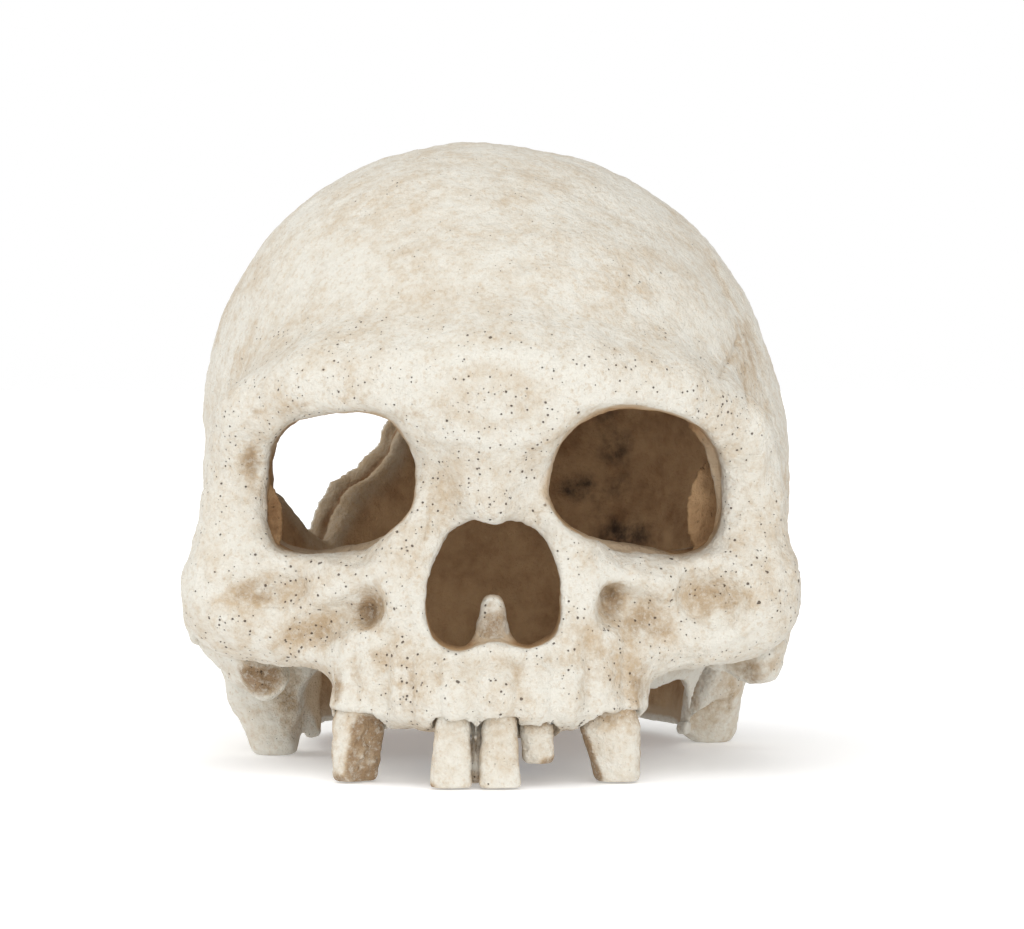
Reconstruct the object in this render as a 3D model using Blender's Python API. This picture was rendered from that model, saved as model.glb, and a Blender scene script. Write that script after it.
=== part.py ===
"""A hollow cast-resin skull ornament for an aquarium, with the air fittings that make it bubble.

Blender 4.5, metres, +Z up. The face looks along -Y and the skull's own right side is at -X.
Sizes below are in millimetres, and the helpers turn them into metres.
"""

import math

import bmesh
import bpy
from mathutils import Euler, Matrix, Vector

MM = 0.001

# Driving dimensions, in millimetres.
HEIGHT = 139.0            # table to crown
HALF_WIDTH = 66.5         # braincase, at its widest
WALL = 6.0                # cast wall of the braincase
FIT_GAP = 0.35            # gap left between a piece and the seat cut for it
STAND_CENTRE = (-0.8, 1.8)    # middle of the finished footprint, which becomes the origin

# The cast is modelled from overlapping lumps, fused on a grid and then softened.
CLAY_VOXEL = 2.0
CLAY_PASSES = 6
CAST_FACES_KEPT = 0.058   # share of the fused faces that the finished cast keeps

# Each tooth is its own casting. A station is (z, x, y, half width, half depth), root last.
TEETH = {
    "right_incisor": ((0, -9.2, -73.6, 4.4, 1.9), (1.2, -9.2, -73.5, 4.7, 2.4),
                      (8, -9.0, -72.6, 4.3, 3.0), (15, -8.7, -71, 3.5, 3.3),
                      (22, -8.4, -69, 2.7, 2.7), (23, -8.4, -68.8, 2.0, 2.0)),
    "left_incisor": ((0, 1.2, -73.8, 4.3, 1.9), (1.2, 1.1, -73.7, 4.6, 2.4),
                     (8, 1.0, -72.8, 4.2, 3.0), (15, 1.0, -71, 3.5, 3.3),
                     (22, 1.2, -69, 2.7, 2.7), (23, 1.2, -68.8, 2.0, 2.0)),
    "left_side_incisor": ((4.6, 9.4, -67.8, 2.4, 2.2), (5.8, 9.2, -67.8, 3.4, 3.0),
                          (12, 8.9, -67.2, 3.5, 3.2), (17, 8.8, -66.4, 2.9, 2.7),
                          (21, 8.8, -66, 2.2, 2.2)),
    "right_broken_molar": ((0, -29.8, -60.6, 4.2, 3.0), (1.5, -29.8, -60.5, 4.9, 3.9),
                           (12, -29.2, -60, 5.6, 4.6), (19, -28.6, -58.5, 4.2, 3.6),
                           (20, -28.6, -58.4, 3.4, 2.8)),
    "left_broken_molar": ((0, 25.2, -60.8, 4.4, 3.2), (1.5, 25.2, -60.7, 5.0, 4.0),
                          (12, 25.0, -60.2, 5.7, 4.7), (19, 24.6, -58.8, 4.2, 3.6),
                          (20, 24.6, -58.7, 3.4, 2.8)),
}

# The air line runs along the middle of the hollow, low behind the upper jaw.
AIR_X = -1.0
AIR_Z = 15.5
TUBE_OUTER_R = 3.0
TUBE_BORE_R = 2.0
BARB_R = 1.7              # barbs sit in the tube with a running gap
AIRWAY_R = 0.9            # bore through the nipple and the elbow
TUBE_FRONT_Y = -15.0
TUBE_BACK_Y = 56.0

STONE_R = 6.5
STONE_FRONT_Y = -49.6
STONE_BACK_Y = -20.0
STONE_BORE_R = 2.2
STONE_BORE_DEPTH = 9.0
NIPPLE_FLANGE_R = 4.2
NIPPLE_BACK_Y = -7.0

CUP_WALL = 1.3
CUP_BACK_Y = -40.0
CUP_FLOOR_Y = -50.0
STEM_Z = 19.5             # the cup plugs into the upper jaw above the ridge that holds the teeth
STEM_R = 2.3
STEM_FRONT_Y = -63.5

WEB_FRONT_Y = 62.0        # faces of the flat web that the grommet sits in
WEB_BACK_Y = 66.0
HOLE_R = 4.2
SPOT_FACE_R = 7.6
GROMMET_FLANGE_R = 6.6
GROMMET_LIP = 2.1
GROMMET_BORE_R = 2.45
ELBOW_NECK_R = 2.1
ELBOW_BEAD_R = 2.9
ELBOW_R = 3.3
ELBOW_TURN_Y = 75.6       # where the elbow turns sideways
ELBOW_REACH = 18.0


def clear_scene():
    """Removes whatever the file held before."""
    for old in list(bpy.data.objects):
        bpy.data.objects.remove(old)


def material(name, colour, roughness, metallic=0.0):
    """A Principled material."""
    made = bpy.data.materials.new(name)
    made.use_nodes = True
    shader = made.node_tree.nodes["Principled BSDF"]
    shader.inputs["Base Color"].default_value = (*colour, 1.0)
    shader.inputs["Roughness"].default_value = roughness
    shader.inputs["Metallic"].default_value = metallic
    return made


def object_from(name, bm, parent=None, finish=None):
    """An object that holds this bmesh, whose points are in millimetres."""
    bmesh.ops.recalc_face_normals(bm, faces=bm.faces)
    bmesh.ops.scale(bm, vec=(MM, MM, MM), verts=bm.verts)
    mesh = bpy.data.meshes.new(name)
    bm.to_mesh(mesh)
    bm.free()
    obj = bpy.data.objects.new(name, mesh)
    bpy.context.scene.collection.objects.link(obj)
    obj.parent = parent
    if finish is not None:
        mesh.materials.append(finish)
    return obj


def smooth_shaded(obj, angle=35.0):
    """Shades the round faces smooth and keeps the edges sharp."""
    obj.data.shade_smooth()
    obj.data.set_sharp_from_angle(angle=math.radians(angle))
    return obj


def as_cutter(obj):
    """Marks a helper that a Boolean uses, so that it isn't a piece."""
    obj.hide_render = True
    obj.display_type = "WIRE"
    return obj


def boolean(obj, other, operation="DIFFERENCE"):
    """Adds a Boolean that cuts other from obj, or joins it."""
    modifier = obj.modifiers.new(f"{operation.lower()}_{other.name}", "BOOLEAN")
    modifier.operation = operation
    modifier.object = other
    modifier.solver = "EXACT"


def fuse(obj, voxel=CLAY_VOXEL, passes=CLAY_PASSES):
    """Fuses overlapping lumps into one skin and softens it."""
    remesh = obj.modifiers.new("fuse", "REMESH")
    remesh.mode = "VOXEL"
    remesh.voxel_size = voxel * MM
    soften = obj.modifiers.new("soften", "SMOOTH")
    soften.factor = 0.5
    soften.iterations = passes


# Lumps and lofts ---------------------------------------------------------------------------


def lump(bm, centre, radii, turn=(0.0, 0.0, 0.0)):
    """An ellipsoid; turn is in degrees about X, Y and Z."""
    place = Matrix.Translation(centre)
    spin = Euler([math.radians(a) for a in turn]).to_matrix().to_4x4()
    bmesh.ops.create_icosphere(
        bm, subdivisions=4, radius=1.0, matrix=place @ spin @ Matrix.Diagonal((*radii, 1.0))
    )


def limb(bm, *stations):
    """Round-ended bars through stations of (point, radius)."""
    for point, radius in stations:
        bmesh.ops.create_icosphere(
            bm, subdivisions=3, radius=radius, matrix=Matrix.Translation(point)
        )
    for (start, r_start), (end, r_end) in zip(stations, stations[1:]):
        along = Vector(end) - Vector(start)
        turn = along.to_track_quat("Z", "Y").to_matrix().to_4x4()
        middle = Matrix.Translation((Vector(start) + Vector(end)) / 2)
        bmesh.ops.create_cone(
            bm, cap_ends=True, segments=24, radius1=r_start, radius2=r_end,
            depth=along.length, matrix=middle @ turn,
        )


def bridge(bm, rings):
    """Joins rings of equal count with faces, and returns them."""
    for low, high in zip(rings, rings[1:]):
        for i in range(len(low)):
            j = (i + 1) % len(low)
            bm.faces.new((low[i], low[j], high[j], high[i]))
    return rings


def loft(bm, stations, sides=24, squareness=2.0):
    """Joins flat rings, bottom to top. A station is (z, x, y, half width, half depth)."""
    rings = []
    for z, x, y, half_w, half_d in stations:
        ring = []
        for i in range(sides):
            angle = 2 * math.pi * i / sides
            c, s = math.cos(angle), math.sin(angle)
            dx = half_w * math.copysign(abs(c) ** (2 / squareness), c)
            dy = half_d * math.copysign(abs(s) ** (2 / squareness), s)
            ring.append(bm.verts.new((x + dx, y + dy, z)))
        rings.append(ring)
    bridge(bm, rings)
    bm.faces.new(rings[0])
    bm.faces.new(rings[-1])


def turned(bm, profile, at=(AIR_X, 0.0, AIR_Z), turn=0.0, sides=28):
    """A solid of revolution about an axis along Y. The profile is (y, radius), in order.

    A profile that ends where it starts makes a ring, and any other is closed with flat caps.
    turn swings the axis about Z, in degrees.
    """
    ring_like = profile[0] == profile[-1]
    place = Matrix.Translation(at) @ Matrix.Rotation(math.radians(turn), 4, "Z")
    rings = []
    for y, radius in profile[: -1 if ring_like else None]:
        ring = []
        for i in range(sides):
            angle = 2 * math.pi * i / sides
            point = Vector((radius * math.cos(angle), y, radius * math.sin(angle)))
            ring.append(bm.verts.new(place @ point))
        rings.append(ring)
    if ring_like:
        bridge(bm, [*rings, rings[0]])
    else:
        bridge(bm, rings)
        bm.faces.new(rings[0])
        bm.faces.new(rings[-1])


# The cast skull ----------------------------------------------------------------------------


def braincase(bm, inset=0.0):
    """Crown, forehead, sides and the back of the head, drawn in by the inset."""
    lump(bm, (-1.6, 10, HEIGHT - 61.5), (HALF_WIDTH - 0.7 - inset, 69 - inset, 61.5 - inset))
    lump(bm, (-6, 6, HEIGHT - 49), (56 - inset, 60 - inset, 49 - inset))
    lump(bm, (1.0, 12, 69), (HALF_WIDTH - inset, 68 - inset, 56 - inset))
    lump(bm, (0, -12, 82), (59 - inset, 54 - inset, 46 - inset))


def rear_skirt(bm, inset=0.0, foot=3.0):
    """The lower back of the cast, which comes down almost to the table."""
    loft(bm, ((foot, 0, 24, 46 - inset, 42 - inset), (20, 0, 22, 51 - inset, 46 - inset),
              (45, 0, 18, 56 - inset, 56 - inset)), sides=40, squareness=2.4)


def brow_and_eye_rims(bm):
    """The ridge over the eyes and the bars outside and between them."""
    for side, reach, drop in ((-1, 54, 0), (1, 53, 3)):
        limb(bm, ((-1, -65, 82), 7.5), ((side * 20, -66.5, 85), 6.5),
             ((side * 40, -60, 85 - drop), 6.5), ((side * reach, -48, 79 - drop), 6))
        limb(bm, ((side * reach, -47, 78 - drop), 6), ((side * (reach + 1.5), -42, 60), 5.5),
             ((side * (reach - 1), -42, 46), 7))
    lump(bm, (-1.5, -55, 69), (13.5, 15, 22))
    limb(bm, ((-1, -62, 76), 8), ((-0.8, -66, 60), 4.5))


def cheeks(bm):
    """Cheekbones and the bone below each eye."""
    for side, x in ((-1, 54), (1, 52)):
        lump(bm, (side * x, -42, 37), (13, 13, 12))
        limb(bm, ((side * 18, -58, 40), 9), ((side * 40, -50, 41), 8), ((side * x, -42, 39), 9))
        limb(bm, ((side * 28, -52, 30), 9), ((side * 43, -47, 32), 8))


def arches(bm):
    """Cheek arches with rough stubs where they meet the side of the head."""
    limb(bm, ((-61, -34, 37), 7), ((-64, -18, 34), 5.5), ((-60, 4, 30), 7))
    limb(bm, ((-62, -18, 31), 6), ((-55, -24, 21), 5.5), ((-47, -26, 24), 5))
    limb(bm, ((58, -34, 37), 7), ((60, -18, 33), 6), ((58, 6, 30), 7))
    limb(bm, ((58, -18, 30), 6), ((51, -24, 20), 6), ((44, -26, 24), 5))


def upper_jaw(bm):
    """The bone round the nose and the ridge that holds the teeth."""
    loft(bm, ((11.5, -1, -45, 31, 22), (15, -1, -45, 34, 27), (24, -1, -45, 34.5, 28),
              (34, -1, -45, 34, 25), (44, -1, -45, 36, 21)), sides=32, squareness=2.3)
    for side in (-1, 1):
        limb(bm, ((side * 16 - 1, -60, 60), 7), ((side * 17 - 1, -58, 40), 9.5))
    for stations in TEETH.values():
        z, x, y, half_w, half_d = stations[-2]
        limb(bm, ((x, y + 1, z - 3), half_w + 2.6), ((x * 0.97, y + 3, z + 7), half_w + 1))


def mastoid_feet(bm):
    """The two bony lobes behind the jaw, which the skull stands on."""
    limb(bm, ((-56, 6, 36), 11), ((-52, -1, 15), 9.5), ((-50.5, -3, 4), 6))
    limb(bm, ((54, 18, 36), 12), ((50.5, 22, 15), 8.5), ((51, 26, 4), 5.5))


def hollow():
    """The inside of the cast: a thick wall less than the outside, and open below."""
    bm = bmesh.new()
    braincase(bm, inset=WALL)
    rear_skirt(bm, inset=WALL, foot=-12.0)
    lump(bm, (-1.5, -24, 62), (43, 31, 19))
    lump(bm, (-1, -32, 18), (23, 26, 34))
    lump(bm, (0, -4, 2), (40, 30, 34))
    made = as_cutter(object_from("hollow", bm))
    fuse(made)
    return made


def eye_opening(name, centre, half_size, lean):
    """A tube with a rounded four-sided outline, wider in front."""
    bm = bmesh.new()
    (x, z), (half_w, half_h) = centre, half_size
    loft(bm, ((-24, 0, 0, half_w * 0.97, half_h * 0.97), (33, 0, 0, half_w, half_h),
              (60, 0, 0, half_w + 7, half_h + 7)), sides=28, squareness=2.7)
    bmesh.ops.rotate(bm, verts=bm.verts, matrix=Matrix.Rotation(math.radians(90), 3, "X"))
    bmesh.ops.rotate(bm, verts=bm.verts, matrix=Matrix.Rotation(math.radians(lean), 3, "Y"))
    bmesh.ops.translate(bm, verts=bm.verts, vec=(x, -30, z))
    return as_cutter(object_from(name, bm))


def nose_opening():
    """A wide pear with a notch that leaves the nasal spine standing in its lower edge."""
    bm = bmesh.new()
    lump(bm, (-8, -60, 40), (6.6, 34, 10.2), turn=(0, -6, 0))
    lump(bm, (7.5, -60, 40), (6.6, 34, 10.2), turn=(0, 6, 0))
    lump(bm, (-0.4, -60, 47.5), (11.6, 34, 9.0))
    made = as_cutter(object_from("nose_opening", bm))
    fuse(made, voxel=1.2, passes=2)
    return made


def broken_side():
    """The large ragged opening in the right side and the back, from the crown down."""
    outline = (
        (-46.5, 57, 49.5), (-44.8, 60, 55), (-41, 64, 60), (-36, 68, 63.5), (-30.5, 72, 69.5),
        (-27.5, 73, 75), (-25, 71, 85), (-29, 66, 94), (-25, 62, 103), (-30, 52, 113),
        (-29, 40, 121), (-33, 28, 128), (-31.5, 14, 135), (-38, 10, 131), (-42, 22, 124),
        (-48, 26, 115), (-46, 34, 109), (-56, 32, 100), (-53, 40, 91), (-61, 33, 84),
        (-58, 39, 74), (-62, 36, 66), (-56, 46, 60), (-52, 51, 52),
    )
    through = Vector((-0.68, 0.60, 0.42)).normalized()
    middle = Vector((-44, 50, 90))
    bm = bmesh.new()
    rings = []
    for depth in (-26, 44):
        ring = []
        for corner in outline:
            across = Vector(corner) - middle
            across -= through * across.dot(through)
            ring.append(bm.verts.new(middle + across + through * depth))
        rings.append(ring)
    bridge(bm, rings)
    bm.faces.new(rings[0])
    bm.faces.new(rings[1])
    bmesh.ops.triangulate(bm, faces=[f for f in bm.faces if len(f.verts) > 4])
    return as_cutter(object_from("broken_side", bm))


def below_table():
    """Everything under the table, cut off so that the feet stand flat."""
    bm = bmesh.new()
    bmesh.ops.create_cube(bm, size=1.0, matrix=Matrix.Translation((0, 0, -20))
                          @ Matrix.Diagonal((200, 220, 40, 1)))
    return as_cutter(object_from("below_table", bm))


def grommet_seat():
    """The drilled hole for the air inlet and the flat it is faced to on both sides."""
    bm = bmesh.new()
    turned(bm, ((WEB_FRONT_Y - 24, SPOT_FACE_R), (WEB_FRONT_Y, SPOT_FACE_R),
                (WEB_FRONT_Y, HOLE_R), (WEB_BACK_Y, HOLE_R),
                (WEB_BACK_Y, SPOT_FACE_R), (WEB_BACK_Y + 20, SPOT_FACE_R)))
    return as_cutter(object_from("grommet_seat", bm))


def stem_seat():
    """The blind hole in the back of the upper jaw that the stone's cup plugs into."""
    bm = bmesh.new()
    turned(bm, ((STEM_FRONT_Y - FIT_GAP, STEM_R + FIT_GAP), (-44, STEM_R + FIT_GAP)),
           at=(AIR_X, 0, STEM_Z), sides=20)
    return as_cutter(object_from("stem_seat", bm))


def socket(name):
    """A tooth's shape grown by the fit gap, run out below the ridge."""
    grown = [(z, x, y, w + FIT_GAP, d + FIT_GAP) for z, x, y, w, d in TEETH[name]]
    z, x, y, w, d = grown[-1]
    grown[-1] = (z + FIT_GAP, x, y, w, d)
    z, x, y, w, d = grown[0]
    grown.insert(0, (z - 4, x, y, w, d))
    bm = bmesh.new()
    loft(bm, grown, sides=18, squareness=2.6)
    return as_cutter(object_from(f"{name}_socket", bm))


def skull_shell(parent, finish):
    """The one-piece cast, with its openings, tooth sockets and seats for the fittings."""
    bm = bmesh.new()
    for region in (braincase, rear_skirt, brow_and_eye_rims, cheeks, arches, upper_jaw,
                   mastoid_feet):
        region(bm)
    limb(bm, ((AIR_X, 58, AIR_Z), 10), ((AIR_X, 60, AIR_Z), 10))
    lump(bm, (0, 61, 4), (13, 5, 8))
    shell = object_from("skull_shell", bm, parent, finish)
    fuse(shell)
    boolean(shell, hollow())
    boolean(shell, eye_opening("right_eye_opening", (-33.4, 64.3), (16.9, 15.6), 4))
    boolean(shell, eye_opening("left_eye_opening", (30.1, 64.3), (18.6, 15.6), -5))
    boolean(shell, nose_opening())
    boolean(shell, broken_side())
    fuse(shell, voxel=1.5, passes=3)
    thin = shell.modifiers.new("thin_out", "DECIMATE")
    thin.ratio = CAST_FACES_KEPT
    for name in TEETH:
        boolean(shell, socket(name))
    boolean(shell, stem_seat())
    boolean(shell, grommet_seat())
    boolean(shell, below_table())
    return shell


# Teeth and air fittings --------------------------------------------------------------------


def tooth(name, parent, finish):
    """One tooth, with its root in the ridge."""
    bm = bmesh.new()
    loft(bm, TEETH[name], sides=18, squareness=2.6)
    return smooth_shaded(object_from(name, bm, parent, finish), 50)


def air_stone(parent, finish):
    """The porous cylinder that makes the bubbles, bored from behind for its nipple."""
    bore_end = STONE_BACK_Y - STONE_BORE_DEPTH
    bm = bmesh.new()
    turned(bm, ((STONE_FRONT_Y, STONE_R - 1), (STONE_FRONT_Y + 1, STONE_R),
                (STONE_BACK_Y - 1, STONE_R), (STONE_BACK_Y, STONE_R - 1),
                (STONE_BACK_Y, STONE_BORE_R), (bore_end, STONE_BORE_R)))
    return smooth_shaded(object_from("air_stone", bm, parent, finish))


def stone_nipple(parent, finish):
    """The flanged spigot that carries air from the tube into the stone."""
    flange_front = STONE_BACK_Y + FIT_GAP
    flange_back = flange_front + 1.6
    front = STONE_BACK_Y - STONE_BORE_DEPTH + 1.0
    bm = bmesh.new()
    turned(bm, ((front, AIRWAY_R), (front, STONE_BORE_R - FIT_GAP),
                (flange_front, STONE_BORE_R - FIT_GAP), (flange_front, NIPPLE_FLANGE_R),
                (flange_back, NIPPLE_FLANGE_R), (flange_back, BARB_R),
                (NIPPLE_BACK_Y - 1, BARB_R), (NIPPLE_BACK_Y, BARB_R - 0.4),
                (NIPPLE_BACK_Y, AIRWAY_R), (front, AIRWAY_R)))
    return smooth_shaded(object_from("stone_nipple", bm, parent, finish))


def stone_cup(parent, finish):
    """The cup that the stone's front end sits in, with a stem plugged into the upper jaw."""
    inner = STONE_R + FIT_GAP
    outer = inner + CUP_WALL
    front = CUP_FLOOR_Y - CUP_WALL
    bm = bmesh.new()
    turned(bm, ((front, outer - 0.8), (front + 0.8, outer), (CUP_BACK_Y, outer),
                (CUP_BACK_Y, inner), (CUP_FLOOR_Y, inner)))
    cup = object_from("stone_cup", bm, parent, finish)
    stem_bm = bmesh.new()
    turned(stem_bm, ((STEM_FRONT_Y, STEM_R - 0.5), (STEM_FRONT_Y + 1, STEM_R),
                     (front + 0.6, STEM_R)), at=(AIR_X, 0, STEM_Z), sides=20)
    boolean(cup, as_cutter(object_from("stone_cup_stem", stem_bm, parent)), "UNION")
    return smooth_shaded(cup)


def air_tube(parent, finish):
    """The silicone tube from the inlet to the stone."""
    bm = bmesh.new()
    turned(bm, ((TUBE_FRONT_Y, TUBE_BORE_R), (TUBE_FRONT_Y, TUBE_OUTER_R),
                (TUBE_BACK_Y, TUBE_OUTER_R), (TUBE_BACK_Y, TUBE_BORE_R),
                (TUBE_FRONT_Y, TUBE_BORE_R)))
    return smooth_shaded(object_from("air_tube", bm, parent, finish))


def inlet_grommet(parent, finish):
    """The rubber ring that grips the elbow in the wall of the cast."""
    groove_front = WEB_FRONT_Y - FIT_GAP
    groove_back = WEB_BACK_Y + FIT_GAP
    front = groove_front - GROMMET_LIP
    back = groove_back + GROMMET_LIP
    bm = bmesh.new()
    turned(bm, ((front, GROMMET_BORE_R), (front, GROMMET_FLANGE_R - 0.7),
                (front + 0.7, GROMMET_FLANGE_R), (groove_front, GROMMET_FLANGE_R),
                (groove_front, HOLE_R - FIT_GAP), (groove_back, HOLE_R - FIT_GAP),
                (groove_back, GROMMET_FLANGE_R), (back - 0.7, GROMMET_FLANGE_R),
                (back, GROMMET_FLANGE_R - 0.7), (back, GROMMET_BORE_R),
                (front, GROMMET_BORE_R)))
    return smooth_shaded(object_from("inlet_grommet", bm, parent, finish))


def inlet_elbow(parent, finish):
    """The barbed elbow that swivels in the grommet. Its origin is on the swivel axis."""
    grommet_front = WEB_FRONT_Y - FIT_GAP - GROMMET_LIP
    grommet_back = WEB_BACK_Y + FIT_GAP + GROMMET_LIP
    bead_back = grommet_front - FIT_GAP
    shoulder = grommet_back + FIT_GAP - ELBOW_TURN_Y
    at = (AIR_X, ELBOW_TURN_Y, AIR_Z)
    barb_front = TUBE_BACK_Y - 11 - ELBOW_TURN_Y
    bead_back -= ELBOW_TURN_Y
    bm = bmesh.new()
    turned(bm, ((barb_front, BARB_R - 0.4), (barb_front + 1, BARB_R),
                (bead_back - 1.2, BARB_R), (bead_back - 1.0, ELBOW_BEAD_R - 0.5),
                (bead_back, ELBOW_BEAD_R), (bead_back, ELBOW_NECK_R),
                (shoulder, ELBOW_NECK_R), (shoulder, ELBOW_R), (0, ELBOW_R),
                (ELBOW_R - 0.8, ELBOW_R - 0.9), (ELBOW_R - 0.4, ELBOW_R - 1.8)), at=(0, 0, 0))
    elbow = object_from("inlet_elbow", bm, parent, finish)
    elbow.location = [c * MM for c in at]
    leg_bm = bmesh.new()
    turned(leg_bm, ((0, ELBOW_R - 0.1), (4.5, ELBOW_R - 0.1), (4.5, ELBOW_NECK_R),
                    (9, ELBOW_NECK_R), (9, 2.7), (11, ELBOW_NECK_R), (13, ELBOW_NECK_R),
                    (13, 2.7), (ELBOW_REACH - 2, 1.8), (ELBOW_REACH, 1.7)),
           at=(0, 0, 0), turn=90)
    bore_bm = bmesh.new()
    turned(bore_bm, ((barb_front - 5, AIRWAY_R), (AIRWAY_R * 0.7, AIRWAY_R)), at=(0, 0, 0),
           sides=16)
    side_bore_bm = bmesh.new()
    turned(side_bore_bm, ((-0.3, AIRWAY_R * 0.97), (ELBOW_REACH + 5, AIRWAY_R * 0.97)),
           at=(0, 0, 0), turn=90, sides=16)
    helpers = ((leg_bm, "elbow_leg", "UNION"), (bore_bm, "elbow_bore", "DIFFERENCE"),
               (side_bore_bm, "elbow_side_bore", "DIFFERENCE"))
    for helper_bm, name, operation in helpers:
        helper = as_cutter(object_from(name, helper_bm, elbow))
        boolean(elbow, helper, operation)
    return smooth_shaded(elbow)


def main():
    """Builds the whole ornament under one empty that stands in the middle of its footprint."""
    clear_scene()
    ornament = bpy.data.objects.new("ornament", None)
    bpy.context.scene.collection.objects.link(ornament)
    ornament.location = [-c * MM for c in (*STAND_CENTRE, 0.0)]
    resin = material("resin", (0.78, 0.69, 0.56), 0.62)
    plastic = material("plastic", (0.62, 0.66, 0.68), 0.35)
    skull_shell(ornament, resin)
    for name in TEETH:
        tooth(name, ornament, resin)
    air_stone(ornament, material("stone", (0.33, 0.42, 0.50), 0.95))
    stone_nipple(ornament, plastic)
    stone_cup(ornament, plastic)
    air_tube(ornament, material("silicone", (0.80, 0.82, 0.80), 0.30))
    inlet_grommet(ornament, material("rubber", (0.03, 0.03, 0.03), 0.80))
    inlet_elbow(ornament, plastic)
    for helper in bpy.data.objects:
        if helper.parent is None and helper != ornament:
            helper.parent = ornament


main()
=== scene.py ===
"""The looks of a hollow cast-resin skull ornament for an aquarium, built round its fixed frame.

The skull and its teeth are sculpted as signed distances on a grid, skinned, roughened and painted.
The air fittings behind the upper jaw keep their engineering shapes and get finishes of their own.
Lengths are in millimetres until a mesh is made, and the face looks along -Y.
"""

from __future__ import annotations

import logging
import math
from dataclasses import dataclass
from enum import Enum
from typing import Any, Callable, Sequence

import bpy
import numpy as np
from mathutils import Euler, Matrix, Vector, noise


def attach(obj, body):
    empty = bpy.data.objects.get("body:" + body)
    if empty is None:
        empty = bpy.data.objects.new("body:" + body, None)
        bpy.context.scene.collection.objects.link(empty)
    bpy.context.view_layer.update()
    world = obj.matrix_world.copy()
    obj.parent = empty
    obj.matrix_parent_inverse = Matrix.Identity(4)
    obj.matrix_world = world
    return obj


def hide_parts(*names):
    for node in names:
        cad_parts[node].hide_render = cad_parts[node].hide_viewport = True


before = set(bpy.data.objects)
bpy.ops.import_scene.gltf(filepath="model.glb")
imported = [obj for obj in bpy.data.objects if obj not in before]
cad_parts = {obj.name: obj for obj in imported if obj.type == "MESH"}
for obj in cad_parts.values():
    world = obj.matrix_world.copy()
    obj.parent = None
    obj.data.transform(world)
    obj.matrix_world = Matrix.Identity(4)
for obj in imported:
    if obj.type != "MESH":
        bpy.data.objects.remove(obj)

LOG = logging.getLogger("ornament")
MM = 0.001
SEED = 7
CAST_BODY = "cast"

# The sculpture's own middle, against the middle of the finished footprint.
STAND_CENTRE = (-0.8, 1.8, 0.0)

Array = np.ndarray
Point = tuple[float, float, float]
Station = tuple[Point, float]
Bend = Callable[[Array, Array, Array], Array]


class Detail(Enum):
    """How fine the sculpting grid is, in millimetres."""

    DRAFT = 1.6
    FINE = 0.75

    @classmethod
    def wanted(cls) -> "Detail":
        """The grid for this run."""
        return cls.FINE


# --------------------------------------------------------------------------- signed shapes


class Shape:
    """A solid described by its signed distance, negative inside."""

    def distance(self, x: Array, y: Array, z: Array) -> Array:
        """Signed distance at each point."""
        raise NotImplementedError

    def box(self) -> tuple[Array, Array]:
        """Lowest and highest corner."""
        raise NotImplementedError


@dataclass(frozen=True)
class Lump(Shape):
    """An ellipsoid.

    Args:
        centre: its middle.
        radii: half its length along each of its own axes.
        turn: degrees about X, Y and Z.
    """

    centre: Point
    radii: Point
    turn: Point = (0.0, 0.0, 0.0)

    def distance(self, x: Array, y: Array, z: Array) -> Array:
        """Signed distance at each point.

        Args:
            x: places across the face.
            y: places from front to back.
            z: heights.

        Returns:
            The distances, negative inside.
        """
        spin = np.array(Euler([math.radians(a) for a in self.turn]).to_matrix())
        dx, dy, dz = x - self.centre[0], y - self.centre[1], z - self.centre[2]
        near = far = 0.0
        for axis, radius in enumerate(self.radii):
            along = dx * spin[0, axis] + dy * spin[1, axis] + dz * spin[2, axis]
            near = near + (along / radius) ** 2
            far = far + (along / radius**2) ** 2
        near, far = np.sqrt(near), np.sqrt(far)
        return near * (near - 1.0) / np.maximum(far, 1e-6)

    def box(self) -> tuple[Array, Array]:
        """Lowest and highest corner."""
        reach = np.array(self.radii) if not any(self.turn) else np.full(3, max(self.radii))
        return np.array(self.centre) - reach, np.array(self.centre) + reach


@dataclass(frozen=True)
class Limb(Shape):
    """A round bar through stations of a point and a radius."""

    stations: tuple[Station, ...]

    def distance(self, x: Array, y: Array, z: Array) -> Array:
        """Signed distance at each point.

        Args:
            x: places across the face.
            y: places from front to back.
            z: heights.

        Returns:
            The distances, negative inside.
        """
        best = None
        for (start, r_start), (end, r_end) in zip(self.stations, self.stations[1:]):
            a, b = np.array(start), np.array(end)
            along = b - a
            px, py, pz = x - a[0], y - a[1], z - a[2]
            t = (px * along[0] + py * along[1] + pz * along[2]) / (along @ along)
            t = np.clip(t, 0.0, 1.0)
            gap = np.sqrt(
                (px - t * along[0]) ** 2 + (py - t * along[1]) ** 2 + (pz - t * along[2]) ** 2
            )
            here = gap - (r_start + (r_end - r_start) * t)
            best = here if best is None else np.minimum(best, here)
        return best

    def box(self) -> tuple[Array, Array]:
        """Lowest and highest corner.

        Returns:
            The two corners.
        """
        low = np.min([np.array(p) - r for p, r in self.stations], axis=0)
        high = np.max([np.array(p) + r for p, r in self.stations], axis=0)
        return low, high


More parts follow.
